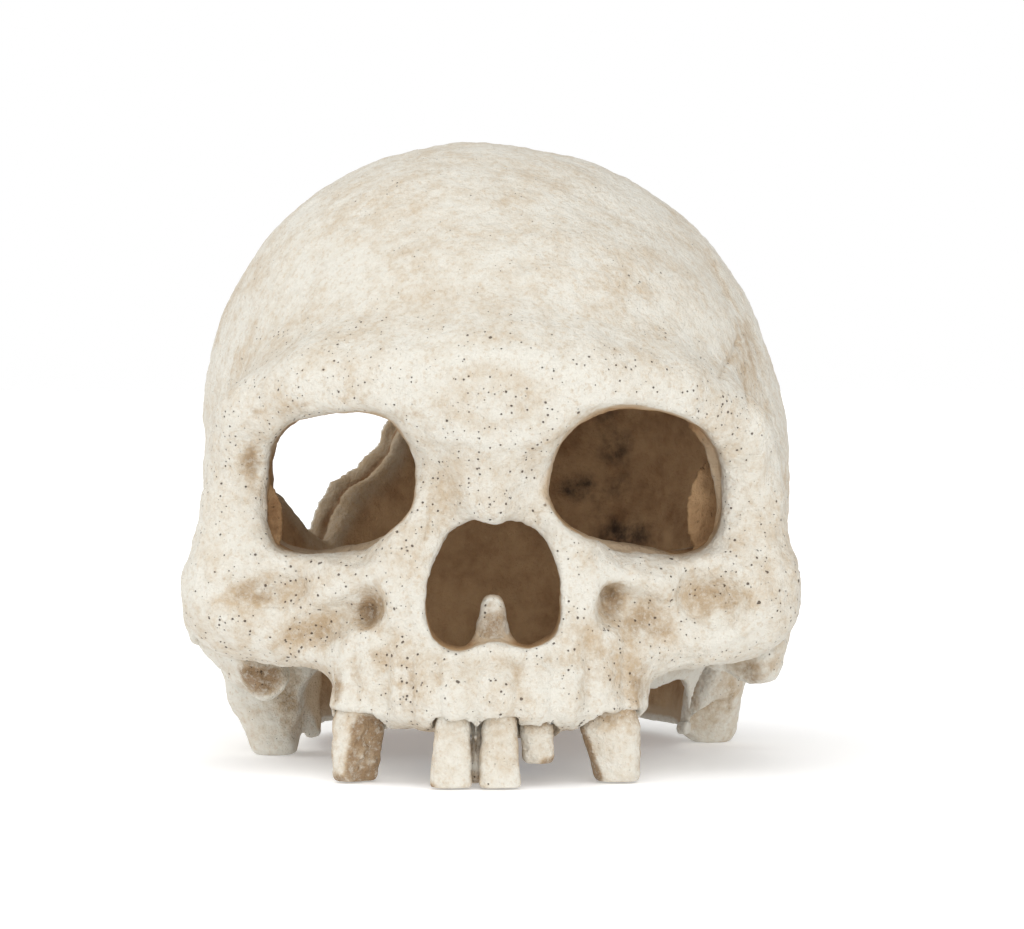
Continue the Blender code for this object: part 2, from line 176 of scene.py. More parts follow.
@dataclass(frozen=True)
class Loft(Shape):
    """A stack of flat rounded squares.

    Args:
        stations: (z, x, y, half width, half depth) from bottom to top.
        squareness: 2 for ellipses, more for squarer rings.
    """

    stations: tuple[tuple[float, float, float, float, float], ...]
    squareness: float = 2.4

    def distance(self, x: Array, y: Array, z: Array) -> Array:
        """Signed distance at each point.

        Args:
            x: places across the face.
            y: places from front to back.
            z: heights.

        Returns:
            The distances, negative inside.
        """
        table = np.array(self.stations)
        level = np.clip(z, table[0, 0], table[-1, 0])
        cx, cy, w, d = (np.interp(level, table[:, 0], table[:, i]) for i in range(1, 5))
        power = self.squareness
        ring = (np.abs((x - cx) / w) ** power + np.abs((y - cy) / d) ** power) ** (1 / power)
        side = (ring - 1.0) * np.minimum(w, d)
        cap = np.maximum(table[0, 0] - z, z - table[-1, 0])
        return np.maximum(side, cap)

    def box(self) -> tuple[Array, Array]:
        """Lowest and highest corner.

        Returns:
            The two corners.
        """
        table = np.array(self.stations)
        low = [min(table[:, 1] - table[:, 3]), min(table[:, 2] - table[:, 4]), table[0, 0]]
        high = [max(table[:, 1] + table[:, 3]), max(table[:, 2] + table[:, 4]), table[-1, 0]]
        return np.array(low), np.array(high)


@dataclass(frozen=True)
class Rod(Shape):
    """A round bar with flat ends.

    Args:
        start: middle of one end.
        end: middle of the other.
        radius: of the bar.
    """

    start: Point
    end: Point
    radius: float

    def distance(self, x: Array, y: Array, z: Array) -> Array:
        """Signed distance at each point.

        Args:
            x: places across the face.
            y: places from front to back.
            z: heights.

        Returns:
            The distances, negative inside.
        """
        a, b = np.array(self.start), np.array(self.end)
        length = np.linalg.norm(b - a)
        axis = (b - a) / length
        px, py, pz = x - a[0], y - a[1], z - a[2]
        along = px * axis[0] + py * axis[1] + pz * axis[2]
        across = np.sqrt(np.maximum(px * px + py * py + pz * pz - along * along, 0.0))
        return np.maximum(across - self.radius, np.maximum(-along, along - length))

    def box(self) -> tuple[Array, Array]:
        """Lowest and highest corner."""
        ends = np.array([self.start, self.end])
        return ends.min(0) - self.radius, ends.max(0) + self.radius


def outline_distance(u: Array, v: Array, corners: Sequence[tuple[float, float]]) -> Array:
    """Signed distance in a plane to a closed outline.

    Args:
        u: first coordinate of each point.
        v: second coordinate of each point.
        corners: the outline's corners in order.

    Returns:
        The distances, negative inside.
    """
    nearest = np.full(np.broadcast(u, v).shape, np.inf)
    inside = np.zeros(nearest.shape, bool)
    for (au, av), (bu, bv) in zip(corners, [*corners[1:], corners[0]]):
        du, dv = bu - au, bv - av
        t = np.clip(((u - au) * du + (v - av) * dv) / (du * du + dv * dv), 0.0, 1.0)
        nearest = np.minimum(nearest, (u - au - t * du) ** 2 + (v - av - t * dv) ** 2)
        if dv:
            crosses = ((av <= v) != (bv <= v)) & (u < au + (v - av) * du / dv)
            inside ^= crosses
    return np.sqrt(nearest) * np.where(inside, -1.0, 1.0)


@dataclass(frozen=True)
class Window(Shape):
    """An opening through the face, of one outline seen from in front.

    Args:
        outline: corners as (x, z).
        front: where it starts, along Y.
        back: where it ends.
        splay: how much its outline has grown at the front, from where the splay starts.
        splay_from: Y at which the outline has its drawn size.
    """

    outline: tuple[tuple[float, float], ...]
    front: float
    back: float
    splay: float = 0.0
    splay_from: float = -60.0

    def distance(self, x: Array, y: Array, z: Array) -> Array:
        """Signed distance at each point.

        Args:
            x: places across the face.
            y: places from front to back.
            z: heights.

        Returns:
            The distances, negative inside.
        """
        flat = outline_distance(x, z, self.outline)
        opened = np.clip((self.splay_from - y) / (self.splay_from - self.front), 0.0, 1.0)
        return np.maximum(flat - self.splay * opened**1.5, np.maximum(self.front - y, y - self.back))

    def box(self) -> tuple[Array, Array]:
        """Lowest and highest corner.

        Returns:
            The two corners.
        """
        corners = np.array(self.outline)
        (x0, z0), (x1, z1) = corners.min(0) - self.splay, corners.max(0) + self.splay
        return np.array([x0, self.front, z0]), np.array([x1, self.back, z1])


@dataclass(frozen=True)
class Facet(Shape):
    """What a flat cut takes off inside a ball round the cut's own point.

    Args:
        point: a point on the cut.
        normal: the direction that the cut's face looks.
        reach: radius of the ball.
    """

    point: Point
    normal: Point
    reach: float

    def distance(self, x: Array, y: Array, z: Array) -> Array:
        """Signed distance at each point.

        Args:
            x: places across the face.
            y: places from front to back.
            z: heights.

        Returns:
            The distances, negative inside.
        """
        facing = np.array(self.normal) / np.linalg.norm(self.normal)
        dx, dy, dz = (c - p for c, p in zip((x, y, z), self.point))
        plane = -(dx * facing[0] + dy * facing[1] + dz * facing[2])
        return np.maximum(plane, np.sqrt(dx * dx + dy * dy + dz * dz) - self.reach)

    def box(self) -> tuple[Array, Array]:
        """Lowest and highest corner."""
        return np.array(self.point) - self.reach, np.array(self.point) + self.reach


class Ripple:
    """Smooth random values in space, for bending edges that would be too straight."""

    def __init__(self, size: float, seed: int) -> None:
        """Draws the lattice.

        Args:
            size: distance between lattice points.
            seed: picks the draw.
        """
        self.size = size
        self.lattice = np.random.default_rng(seed).uniform(-1, 1, (24, 24, 24))

    def at(self, x: Array, y: Array, z: Array) -> Array:
        """Values from -1 to 1 at each point.

        Args:
            x: places across the face.
            y: places from front to back.
            z: heights.

        Returns:
            One value for each point.
        """
        total = 0.0
        cells, shares = [], []
        for axis in (x, y, z):
            scaled = axis / self.size + 200.0
            whole = np.floor(scaled).astype(int)
            part = scaled - whole
            cells.append(whole)
            shares.append(part * part * (3 - 2 * part))
        for corner in np.ndindex(2, 2, 2):
            weight = 1.0
            index = []
            for cell, share, step in zip(cells, shares, corner):
                weight = weight * (share if step else 1 - share)
                index.append((cell + step) % 24)
            total = total + weight * self.lattice[tuple(index)]
        return total


class Clay:
    """A block of signed distances that shapes are added to and carved from."""

    FAR = 40.0

    def __init__(self, axes: Sequence[Array]) -> None:
        """Starts an empty block on grid lines that may lie closer in some places.

        Args:
            axes: the grid lines across X, Y and Z.
        """
        self.axes = [np.asarray(axis, np.float32) for axis in axes]
        self.field = np.full([len(a) for a in self.axes], self.FAR, np.float32)

    def empty_copy(self) -> "Clay":
        """Another empty block on the same grid."""
        return Clay(self.axes)

    def part(self, shape: Shape, margin: float) -> tuple[tuple[slice, ...], list[Array]]:
        """The part of the grid round a shape, and its open coordinates.

        Args:
            shape: what has to fit in it.
            margin: how much room is left round the shape.

        Returns:
            The slices of the grid, and its coordinates ready to broadcast.
        """
        low, high = shape.box()
        cut, coords = [], []
        for i, axis in enumerate(self.axes):
            start = int(np.searchsorted(axis, low[i] - margin))
            stop = int(np.searchsorted(axis, high[i] + margin))
            cut.append(slice(start, stop))
            coords.append(axis[start:stop].reshape([-1 if k == i else 1 for k in range(3)]))
        return tuple(cut), coords

    def add(self, shape: Shape, blend: float = 4.0) -> None:
        """Adds a shape, with a fillet of about the blend's size where it meets the rest.

        Args:
            shape: what is added.
            blend: size of the fillet.
        """
        part, coords = self.part(shape, blend + 6.0)
        if self.field[part].size:
            self.field[part] = smooth_min(self.field[part], shape.distance(*coords), blend)

    def carve(self, shape: Shape, blend: float = 1.5, bend: Bend | None = None) -> None:
        """Takes a shape away and rounds the rim.

        Args:
            shape: what is taken away.
            blend: size of the rounding.
            bend: moves the shape's surface about.
        """
        part, coords = self.part(shape, blend + 6.0)
        if self.field[part].size:
            away = shape.distance(*coords)
            if bend is not None:
                away = away + bend(*coords)
            self.field[part] = -smooth_min(-self.field[part], away, blend)

    def skin(self) -> tuple[Array, Array]:
        """The zero surface as points and four-sided faces that look outwards.

        Returns:
            The points, and rows of four point numbers.
        """
        inside = self.field < 0
        crossed = np.zeros([n - 1 for n in inside.shape], bool)
        lowest = inside[:-1, :-1, :-1]
        for corner in np.ndindex(2, 2, 2):
            view = tuple(slice(c, n - 1 + c) for c, n in zip(corner, inside.shape))
            crossed |= inside[view] != lowest
        cells = np.argwhere(crossed)
        number = np.full(crossed.shape, -1, np.int32)
        number[tuple(cells.T)] = np.arange(len(cells))
        total = np.zeros((len(cells), 3))
        count = np.zeros(len(cells))
        for axis in range(3):
            for offset in np.ndindex(2, 2):
                first = np.insert(np.array(offset), axis, 0)
                second = first.copy()
                second[axis] = 1
                a = self.field[tuple((cells + first).T)]
                b = self.field[tuple((cells + second).T)]
                cut = (a < 0) != (b < 0)
                share = a[cut] / (a[cut] - b[cut])
                spot = (cells[cut] + first).astype(float)
                spot[:, axis] += share
                total[cut] += spot
                count[cut] += 1
        spots = total / count[:, None]
        points = np.stack(
            [np.interp(spots[:, i], np.arange(len(a)), a) for i, a in enumerate(self.axes)], axis=1
        )
        return points, np.concatenate([self._faces(inside, number, axis) for axis in range(3)])

    @staticmethod
    def _faces(inside: Array, number: Array, axis: int) -> Array:
        """The faces that cross the grid lines along one axis.

        Args:
            inside: which grid points are in the solid.
            number: the point number of each crossed cell, or -1.
            axis: the direction of the lines.

        Returns:
            Rows of four point numbers.
        """
        others = [i for i in range(3) if i != axis]
        low = [slice(1, -1)] * 3
        low[axis] = slice(0, -1)
        high = list(low)
        high[axis] = slice(1, None)
        change = inside[tuple(low)].astype(np.int8) - inside[tuple(high)].astype(np.int8)
        spots = np.argwhere(change != 0)
        out = change[tuple(spots.T)] > 0
        spots[:, others] += 1
        corners = []
        for back in ((0, 0), (1, 0), (1, 1), (0, 1)):
            cell = spots.copy()
            cell[:, others[0]] -= back[0]
            cell[:, others[1]] -= back[1]
            corners.append(number[tuple(cell.T)])
        quads = np.stack(corners, axis=1)
        flip = out if axis == 1 else ~out
        quads[flip] = quads[flip][:, ::-1]
        return quads

    def softened(self, passes: int) -> Array:
        """The field after a wide blur, whose difference from the field shows hollows and ridges.

        Args:
            passes: how many times it is blurred.

        Returns:
            The blurred field.
        """
        blurred = self.field.copy()
        for _ in range(passes):
            for axis in range(3):
                view = np.moveaxis(blurred, axis, 0)
                view[1:-1] = (view[:-2] + 2 * view[1:-1] + view[2:]) / 4
        return blurred

    def sample(self, values: Array, points: Array) -> Array:
        """Values of a grid like this one at points, read between its lines.

        Args:
            values: one number for each grid point.
            points: where they are read.

        Returns:
            One value for each point.
        """
        scaled = [np.interp(points[:, i], a, np.arange(len(a))) for i, a in enumerate(self.axes)]
        whole = [np.clip(s.astype(int), 0, n - 2) for s, n in zip(scaled, values.shape)]
        total = np.zeros(len(points))
        for corner in np.ndindex(2, 2, 2):
            weight = np.ones(len(points))
            for s, w, c in zip(scaled, whole, corner):
                weight *= (s - w) if c else 1 - (s - w)
            total += weight * values[tuple(w + c for w, c in zip(whole, corner))]
        return total


def smooth_min(a: Array, b: Array, blend: float) -> Array:
    """The smaller of two distances, rounded where they meet."""
    share = np.clip(0.5 + 0.5 * (b - a) / blend, 0.0, 1.0)
    return b + (a - b) * share - blend * share * (1.0 - share)


# --------------------------------------------------------------------------- meshes


def mesh_piece(name: str, points: Array, faces: Array, marks: dict[str, Array]) -> bpy.types.Object:
    """Makes an object from points in sculpture millimetres.

    Args:
        name: the piece's name.
        points: one row for each corner.
        faces: rows of four corners.
        marks: values for each point, kept under these names for the finish to read.

    Returns:
        The object, linked to the scene.
    """
    mesh = bpy.data.meshes.new(name)
    mesh.vertices.add(len(points))
    mesh.vertices.foreach_set("co", ((points - np.array(STAND_CENTRE)) * MM).astype(np.float32).ravel())
    mesh.loops.add(faces.size)
    mesh.loops.foreach_set("vertex_index", faces.astype(np.int32).ravel())
    mesh.polygons.add(len(faces))
    mesh.polygons.foreach_set("loop_start", np.arange(0, faces.size, 4, dtype=np.int32))
    mesh.polygons.foreach_set("use_smooth", np.ones(len(faces), bool))
    mesh.update(calc_edges=True)
    for mark, values in marks.items():
        layer = mesh.attributes.new(mark, "FLOAT", "POINT")
        layer.data.foreach_set("value", values.astype(np.float32))
    made = bpy.data.objects.new(name, mesh)
    bpy.context.scene.collection.objects.link(made)
    return made


def normals_of(points: Array, faces: Array) -> Array:
    """Unit normals at the points, averaged from the faces round each.

    Args:
        points: one row for each corner.
        faces: rows of four point numbers.

    Returns:
        One unit vector for each point.
    """
    across = points[faces[:, 2]] - points[faces[:, 0]]
    other = points[faces[:, 3]] - points[faces[:, 1]]
    facing = np.cross(across, other)
    total = np.zeros_like(points)
    for corner in range(4):
        for axis in range(3):
            total[:, axis] += np.bincount(faces[:, corner], facing[:, axis], len(points))
    return total / np.maximum(np.linalg.norm(total, axis=1, keepdims=True), 1e-9)


def largest_part(points: Array, faces: Array) -> tuple[Array, Array]:
    """Keeps only the biggest connected skin, so that no crumb floats free.

    Args:
        points: one row for each corner.
        faces: rows of four point numbers.

    Returns:
        What is kept of both.
    """
    label = np.arange(len(points))
    while True:
        lowest = label[faces].min(axis=1)
        changed = label.copy()
        for corner in range(4):
            np.minimum.at(changed, faces[:, corner], lowest)
        changed = changed[changed]
        if np.array_equal(changed, label):
            break
        label = changed
    kept = label == np.bincount(label).argmax()
    number = np.cumsum(kept) - 1
    return points[kept], number[faces[kept[faces[:, 0]]]]


def rough(points: Array, size: float, octaves: int = 3, shift: float = 0.0) -> Array:
    """Fractal noise at each point, about -1 to 1.

    Args:
        points: where it is read.
        size: width of its biggest features.
        octaves: how many finer layers it has.
        shift: moves it, for an independent copy.
    """
    scaled = (points / size + shift).tolist()
    return np.array([noise.fractal(p, 1.0, 2.1, octaves) for p in scaled])


def near(points: Array, spot: Point, radii: Point) -> Array:
    """A soft blob, 1 at the spot and fading to 0 past its radii."""
    away = ((points - np.array(spot)) / np.array(radii)) ** 2
    return np.exp(-away.sum(axis=1))


def along_line(u: Array, v: Array, line: Sequence[tuple[float, float]], width: float) -> Array:
    """A soft stroke along a line drawn in a plane, 1 on the line.

    Args:
        u: first coordinate of each point.
        v: second coordinate of each point.
        line: corners of the line.
        width: how far out the stroke has mostly faded.

    Returns:
        Values from 0 to 1.
    """
    best = np.full(len(u), np.inf)
    for (au, av), (bu, bv) in zip(line, line[1:]):
        du, dv = bu - au, bv - av
        t = np.clip(((u - au) * du + (v - av) * dv) / (du * du + dv * dv), 0.0, 1.0)
        best = np.minimum(best, (u - au - t * du) ** 2 + (v - av - t * dv) ** 2)
    return np.exp(-best / width**2)


# --------------------------------------------------------------------------- shader graphs


class Signal:
    """A value in a material's graph; arithmetic on it adds the node that does it."""

    def __init__(self, graph: "Graph", socket: bpy.types.NodeSocket) -> None:
        """Wraps one output socket of the graph."""
        self.graph = graph
        self.socket = socket

    def _math(self, operation: str, *terms: "Signal | float") -> "Signal":
        """A Math node on these terms."""
        return self.graph.node("ShaderNodeMath", {"operation": operation}, dict(enumerate(terms)))

    def __add__(self, other: "Signal | float") -> "Signal":
        """This plus the other."""
        return self._math("ADD", self, other)

    __radd__ = __add__

    def __sub__(self, other: "Signal | float") -> "Signal":
        """This minus the other."""
        return self._math("SUBTRACT", self, other)

    def __rsub__(self, other: "Signal | float") -> "Signal":
        """The other minus this."""
        return self._math("SUBTRACT", other, self)

    def __mul__(self, other: "Signal | float") -> "Signal":
        """This times the other."""
        return self._math("MULTIPLY", self, other)

    __rmul__ = __mul__

    def __truediv__(self, other: "Signal | float") -> "Signal":
        """This over the other."""
        return self._math("DIVIDE", self, other)

    def __rtruediv__(self, other: "Signal | float") -> "Signal":
        """The other over this."""
        return self._math("DIVIDE", other, self)

    def __neg__(self) -> "Signal":
        """Minus this."""
        return self * -1.0

    def ramp(self, start: float, end: float) -> "Signal":
        """0 before the start and 1 after the end, with a smooth step between them.

        Args:
            start: the value that gives 0.
            end: the value that gives 1.

        Returns:
            The stepped value.
        """
        return self.graph.node(
            "ShaderNodeMapRange",
            {"interpolation_type": "SMOOTHSTEP"},
            {"Value": self, "From Min": start, "From Max": end},
        )

    def clipped(self) -> "Signal":
        """This, kept from 0 to 1."""
        return self.graph.node("ShaderNodeClamp", {}, {"Value": self})


Colour = tuple[float, float, float]


def paint(red: int, green: int, blue: int) -> Colour:
    """A screen colour, 0 to 255, as linear light.

    Args:
        red: red part.
        green: green part.
        blue: blue part.

    Returns:
        The colour as a shader takes it.
    """

    def linear(part: float) -> float:
        """One channel from 0 to 1."""
        return part / 12.92 if part <= 0.04045 else ((part + 0.055) / 1.055) ** 2.4

    return (linear(red / 255), linear(green / 255), linear(blue / 255))


class Graph:
    """A node tree, and the one way that nodes are added to it."""

    def __init__(self, tree: bpy.types.NodeTree) -> None:
        """Wraps a tree."""
        self.tree = tree
        self.nodes = tree.nodes

    def node(
        self, kind: str, settings: dict[str, Any], inputs: dict[Any, Any], output: Any = 0
    ) -> Signal:
        """Adds a node.

        Args:
            kind: the node's type.
            settings: its properties, which are set first.
            inputs: sockets by name or number, with the value or signal for each.
            output: which of its outputs is wanted.

        Returns:
            That output.
        """
        made = self.nodes.new(kind)
        for name, value in settings.items():
            setattr(made, name, value)
        for name, value in inputs.items():
            self.feed(made.inputs[name], value)
        return Signal(self, made.outputs[output])

    def feed(self, socket: bpy.types.NodeSocket, value: Any) -> None:
        """Gives one socket its signal, colour or number.

        Args:
            socket: what is fed.
            value: a signal, a colour or a number.
        """
        if isinstance(value, Signal):
            self.tree.links.new(value.socket, socket)
        elif isinstance(value, tuple) and socket.type == "RGBA":
            socket.default_value = (*value, 1.0)
        else:
            socket.default_value = value


class PaintGraph(Graph):
    """A material and the nodes that feed its one Principled shader."""

    def __init__(self, name: str) -> None:
        """Starts an empty material of this name.

        Args:
            name: what the material is called.
        """
        self.material = bpy.data.materials.new(name)
        self.material.use_nodes = True
        super().__init__(self.material.node_tree)
        self.shader = self.nodes["Principled BSDF"]
        place = self.node("ShaderNodeTexCoord", {}, {}, "Object")
        self.place = self.node(
            "ShaderNodeVectorMath", {"operation": "SCALE"}, {0: place, "Scale": 1.0 / MM}
        )

    def set(self, name: str, value: Any) -> None:
        """Sets or feeds one input of the shader."""
        self.feed(self.shader.inputs[name], value)

    def mark(self, name: str) -> Signal:
        """A value kept with the mesh's points."""
        return self.node("ShaderNodeAttribute", {"attribute_name": name}, {}, "Fac")

    def mix(self, share: Signal | float, first: Any, second: Any, blend: str = "MIX") -> Signal:
        """The first colour, going over to the second as the share rises.

        Args:
            share: how much of the second there is.
            first: a colour or a signal.
            second: a colour or a signal.
            blend: how the two are combined.

        Returns:
            The mixed colour.
        """
        return self.node(
            "ShaderNodeMix",
            {"data_type": "RGBA", "blend_type": blend},
            {0: share, 6: first, 7: second},
            2,
        )

    def noise(self, size: float, detail: float = 3.0, roughness: float = 0.5) -> Signal:
        """Cloudy noise about 0.5, with features of this size in millimetres.

        Args:
            size: width of its biggest features.
            detail: how many finer layers it has.
            roughness: how strong those are.

        Returns:
            The noise.
        """
        return self.node(
            "ShaderNodeTexNoise",
            {},
            {"Vector": self.place, "Scale": 1 / size, "Detail": detail, "Roughness": roughness},
        )

    def cells(self, size: float) -> tuple[Signal, Signal]:
        """Random points this far apart: the distance to the nearest, and a number of its own.

        Args:
            size: distance between the points.

        Returns:
            The distance and the number.
        """
        distance = self.node(
            "ShaderNodeTexVoronoi", {}, {"Vector": self.place, "Scale": 1 / size}, "Distance"
        )
        tint = Signal(self, distance.socket.node.outputs["Color"])
        return distance, self.node("ShaderNodeSeparateColor", {}, {"Color": tint})

    def bump(self, height: Signal, depth: float, under: Signal | None = None) -> Signal:
        """A normal that shows this height, whose full range is the depth in millimetres.

        Args:
            height: what the normal shows.
            depth: what its full range stands for.
            under: a normal that this one is laid over.

        Returns:
            The normal.
        """
        inputs = {"Height": height, "Distance": depth * MM, "Strength": 1.0}
        if under is not None:
            inputs["Normal"] = under
        return self.node("ShaderNodeBump", {}, inputs)


# --------------------------------------------------------------------------- finishes


# Pinholes as (spacing, largest radius as a share of it, share of places without one).
PINHOLES = ((1.1, 0.36, 0.15), (2.3, 0.27, 0.3), (6.5, 0.13, 0.3))


@dataclass(frozen=True)
class AgedBone:
    """Cream paint over cast resin; brown wash and painted shade in the hollows, painted highlight on
    ridges.

    Args:
        name: the material's name.
        light: the paint where it is thickest, also used as painted highlight on ridges.
        cream: the paint elsewhere.
        wash: the thin brown wash, which also lays painted shade in hollows.
        stain: where the wash has pooled.
        lining: the inside.
        lining_dark: darker patches on the inside.
        lining_painted_light: painted light on the inside, where the lamps do not reach.
        rim: bare resin just inside an opening.
        core: broken resin.
        blot: damp stains on the inside.
        hole: the bottom of a pinhole.
        pores: how large the pinholes are, 0 to 1.
    """

    name: str = "aged_bone"
    light: Colour = paint(221, 217, 206)
    cream: Colour = paint(208, 198, 181)
    wash: Colour = paint(186, 161, 127)
    stain: Colour = paint(122, 93, 60)
    lining: Colour = paint(194, 160, 120)
    lining_dark: Colour = paint(138, 102, 66)
    lining_painted_light: Colour = paint(236, 214, 184)
    rim: Colour = paint(196, 175, 147)
    core: Colour = paint(199, 184, 160)
    blot: Colour = paint(34, 20, 10)
    hole: Colour = paint(70, 50, 32)
    pores: float = 1.0

    def make(self) -> bpy.types.Material:
        """Makes the material, which reads the marks kept with the piece's points.

        Returns:
            The material.
        """
        graph = PaintGraph(self.name)
        depth, relief, stain = graph.mark("depth"), graph.mark("relief"), graph.mark("stain")
        broken, dark = graph.mark("broken"), graph.mark("dark")
        clouds = graph.noise(17.0, 5.0, 0.62)
        dabs = graph.noise(3.1, 4.0, 0.6)
        grain = graph.noise(0.8, 3.0, 0.6)
        veins = graph.noise(6.5, 6.0, 0.72)
        patchy = stain * (0.35 + veins * 1.3)
        # Random wash, with painted shade in hollows and painted highlight on ridges from the relief
        # mark.
        wash_and_shade = (clouds - 0.5) * 1.7 + (veins - 0.5) * 1.6 + (dabs - 0.5) * 0.9 - relief * 0.55
        skin = graph.mix((0.5 - wash_and_shade).ramp(0.15, 0.95), self.cream, self.light)
        washed = (wash_and_shade + patchy * 0.95).ramp(0.0, 1.15)
        skin = graph.mix(washed * 0.78, skin, self.wash)
        # Pooled wash from the stain marks, a little stronger in hollows as painted shade.
        pooled = (patchy * 1.1 + (dabs - 0.5) * 0.9 - relief * 0.3 - 0.35).ramp(0.1, 1.1)
        skin = graph.mix(pooled * 0.8, skin, self.stain)
        flecks = graph.noise(1.25, 3.0, 0.72)
        skin = graph.mix((flecks - 0.45).ramp(0.02, 0.22) * 0.38, skin, self.light)
        skin = graph.mix((0.5 - flecks).ramp(0.0, 0.22) * 0.42, skin, self.wash)
        pores, pits = self._pores(graph, clouds)
        skin = graph.mix(pores, skin, self.hole)

        blotch = ((graph.noise(9.0, 5.0, 0.6) - 0.5) * 2.2 + (veins - 0.5)).ramp(-0.5, 0.9)
        lining = graph.mix(blotch, self.lining, self.lining_dark)
        blots = dark * (0.75 + (graph.noise(7.0, 5.0, 0.65) - 0.5) * 2.4) + (dabs - 0.5) * 0.5
        # Painted light: the lining turns paler where the dark mark falls below zero.
        lining = graph.mix((-dark).clipped(), lining, self.lining_painted_light)
        lining = graph.mix(blots.ramp(0.12, 0.95) * 0.93, lining, self.blot)
        edge = graph.mix((veins + grain * 0.4).ramp(0.4, 0.95), self.core, self.wash)
        edge = graph.mix((dark + (dabs - 0.5) * 0.4).ramp(0.2, 0.8), edge, self.lining_dark)
        lining = graph.mix((depth + (veins - 0.5) * 0.3).ramp(0.35, 0.85), self.rim, lining)
        inner = (depth + (veins - 0.5) * 0.12).ramp(0.08, 0.26)
        colour = graph.mix(broken, graph.mix(inner, skin, lining), edge)
        graph.set("Base Color", colour)
        graph.set("Roughness", (0.62 + (dabs - 0.5) * 0.25 + inner * 0.1).clipped())
        graph.set("Specular IOR Level", 0.35)

        wrinkles = graph.noise(1.5, 4.0, 0.65) * 0.6 + graph.noise(0.55, 2.0, 0.5) * 0.25 + veins * 0.5
        surface = graph.bump(wrinkles, 1.15)
        graph.set("Normal", graph.bump(1.0 - pits, 0.35, surface))
        return graph.material

    def _pores(self, graph: PaintGraph, clouds: Signal) -> tuple[Signal, Signal]:
        """Pinholes of three sizes: how dark each spot is, and how deep.

        Args:
            graph: the material being made.
            clouds: slow noise that crowds them in places.

        Returns:
            The darkness and the depth, each from 0 to 1.
        """
        crowd = graph.mark("crowd") * 0.8 + (clouds - 0.5) * 2.6
        crowd = (crowd + (graph.noise(5.0) - 0.5) * 2.0).clipped()
        total: Signal | None = None
        for size, radius, rarity in PINHOLES:
            away, luck = graph.cells(size)
            ragged = 0.5 + graph.noise(0.5, 2.0, 0.6)
            reach = (luck - rarity) * crowd * ragged * (radius * self.pores) + 0.0005
            hole = 1.0 - (away / reach).ramp(0.6, 1.05)
            hole = hole * luck.ramp(rarity, rarity + 0.02)
            total = hole if total is None else (total + hole).clipped()
        return total * 0.85, total


@dataclass(frozen=True)
class FrittedStone:
    """Sintered grit that lets air through everywhere.

    Args:
        name: the material's name.
        grit: most grains.
        pale: the lighter grains.
        gap: between the grains.
    """

    name: str = "fritted_stone"
    grit: Colour = paint(112, 140, 168)
    pale: Colour = paint(146, 168, 190)
    gap: Colour = paint(46, 60, 80)

    def make(self) -> bpy.types.Material:
        """Makes the material.

        Returns:
            The material.
        """
        graph = PaintGraph(self.name)
        grains, _ = graph.cells(0.75)
        tint = graph.noise(0.9, 3.0)
        grit = graph.mix(tint.ramp(0.3, 0.7), self.grit, self.pale)
        graph.set("Base Color", graph.mix(grains.ramp(0.25, 0.75), grit, self.gap))
        graph.set("Roughness", 0.95)
        graph.set("Normal", graph.bump(1.0 - grains, 0.3))
        return graph.material


@dataclass(frozen=True)
class Moulding:
    """Moulded plastic or rubber with a faint grain and finger marks.

    Args:
        name: the material's name.
        colour: the base colour.
        roughness: the shader's roughness where it is clean.
        film: colour of the dust on it.
    """

    name: str
    colour: Colour
    roughness: float
    film: Colour = paint(150, 134, 108)

    def make(self) -> bpy.types.Material:
        """Makes the material.

        Returns:
            The material.
        """
        graph = PaintGraph(self.name)
        dust = graph.noise(4.0, 4.0, 0.6)
        fine = graph.noise(0.35, 2.0)
        graph.set("Base Color", graph.mix(dust.ramp(0.5, 0.85) * 0.45, self.colour, self.film))
        graph.set("Roughness", (self.roughness + (dust - 0.4) * 0.35).clipped())
        graph.set("Normal", graph.bump(fine, 0.04))
        return graph.material


# --------------------------------------------------------------------------- the cast skull


def rounded(corners: Sequence[tuple[float, float]], passes: int = 2) -> tuple[tuple[float, float], ...]:
    """A closed outline with its corners cut off again and again, which leaves a smooth curve.

    Args:
        corners: the outline in order.
        passes: how often its corners are cut.

    Returns:
        The smoother outline.
    """
    line = np.array(corners, float)
    for _ in range(passes):
        after = np.roll(line, -1, axis=0)
        line = np.stack([0.75 * line + 0.25 * after, 0.25 * line + 0.75 * after], 1).reshape(-1, 2)
    return tuple(map(tuple, line))


def grid_lines(*stretches: tuple[float, float, float]) -> Array:
    """Grid lines over stretches of (start, end, step), coarser in a draft.

    Args:
        *stretches: start, end and step of each.

    Returns:
        All their lines in one row.
    """
    coarser = Detail.wanted().value / Detail.FINE.value
    parts = [np.arange(start, end, step * coarser) for start, end, step in stretches]
    return np.concatenate(parts)


# Grid lines across, from front to back, and up, as (start, end, step): finest over the face.
GRID = (
    ((-72, 72, 0.68),),
    ((-79, -26, 0.62), (-26, 82, 1.0)),
    ((-4, 60, 0.66), (60, 143, 0.78)),
)
# Lumps of the casting skin as (size, layers, shift, height).
SKIN_LUMPS = ((15.0, 2, 0.0, 0.45), (4.6, 3, 40.0, 0.24), (1.9, 2, 90.0, 0.17))
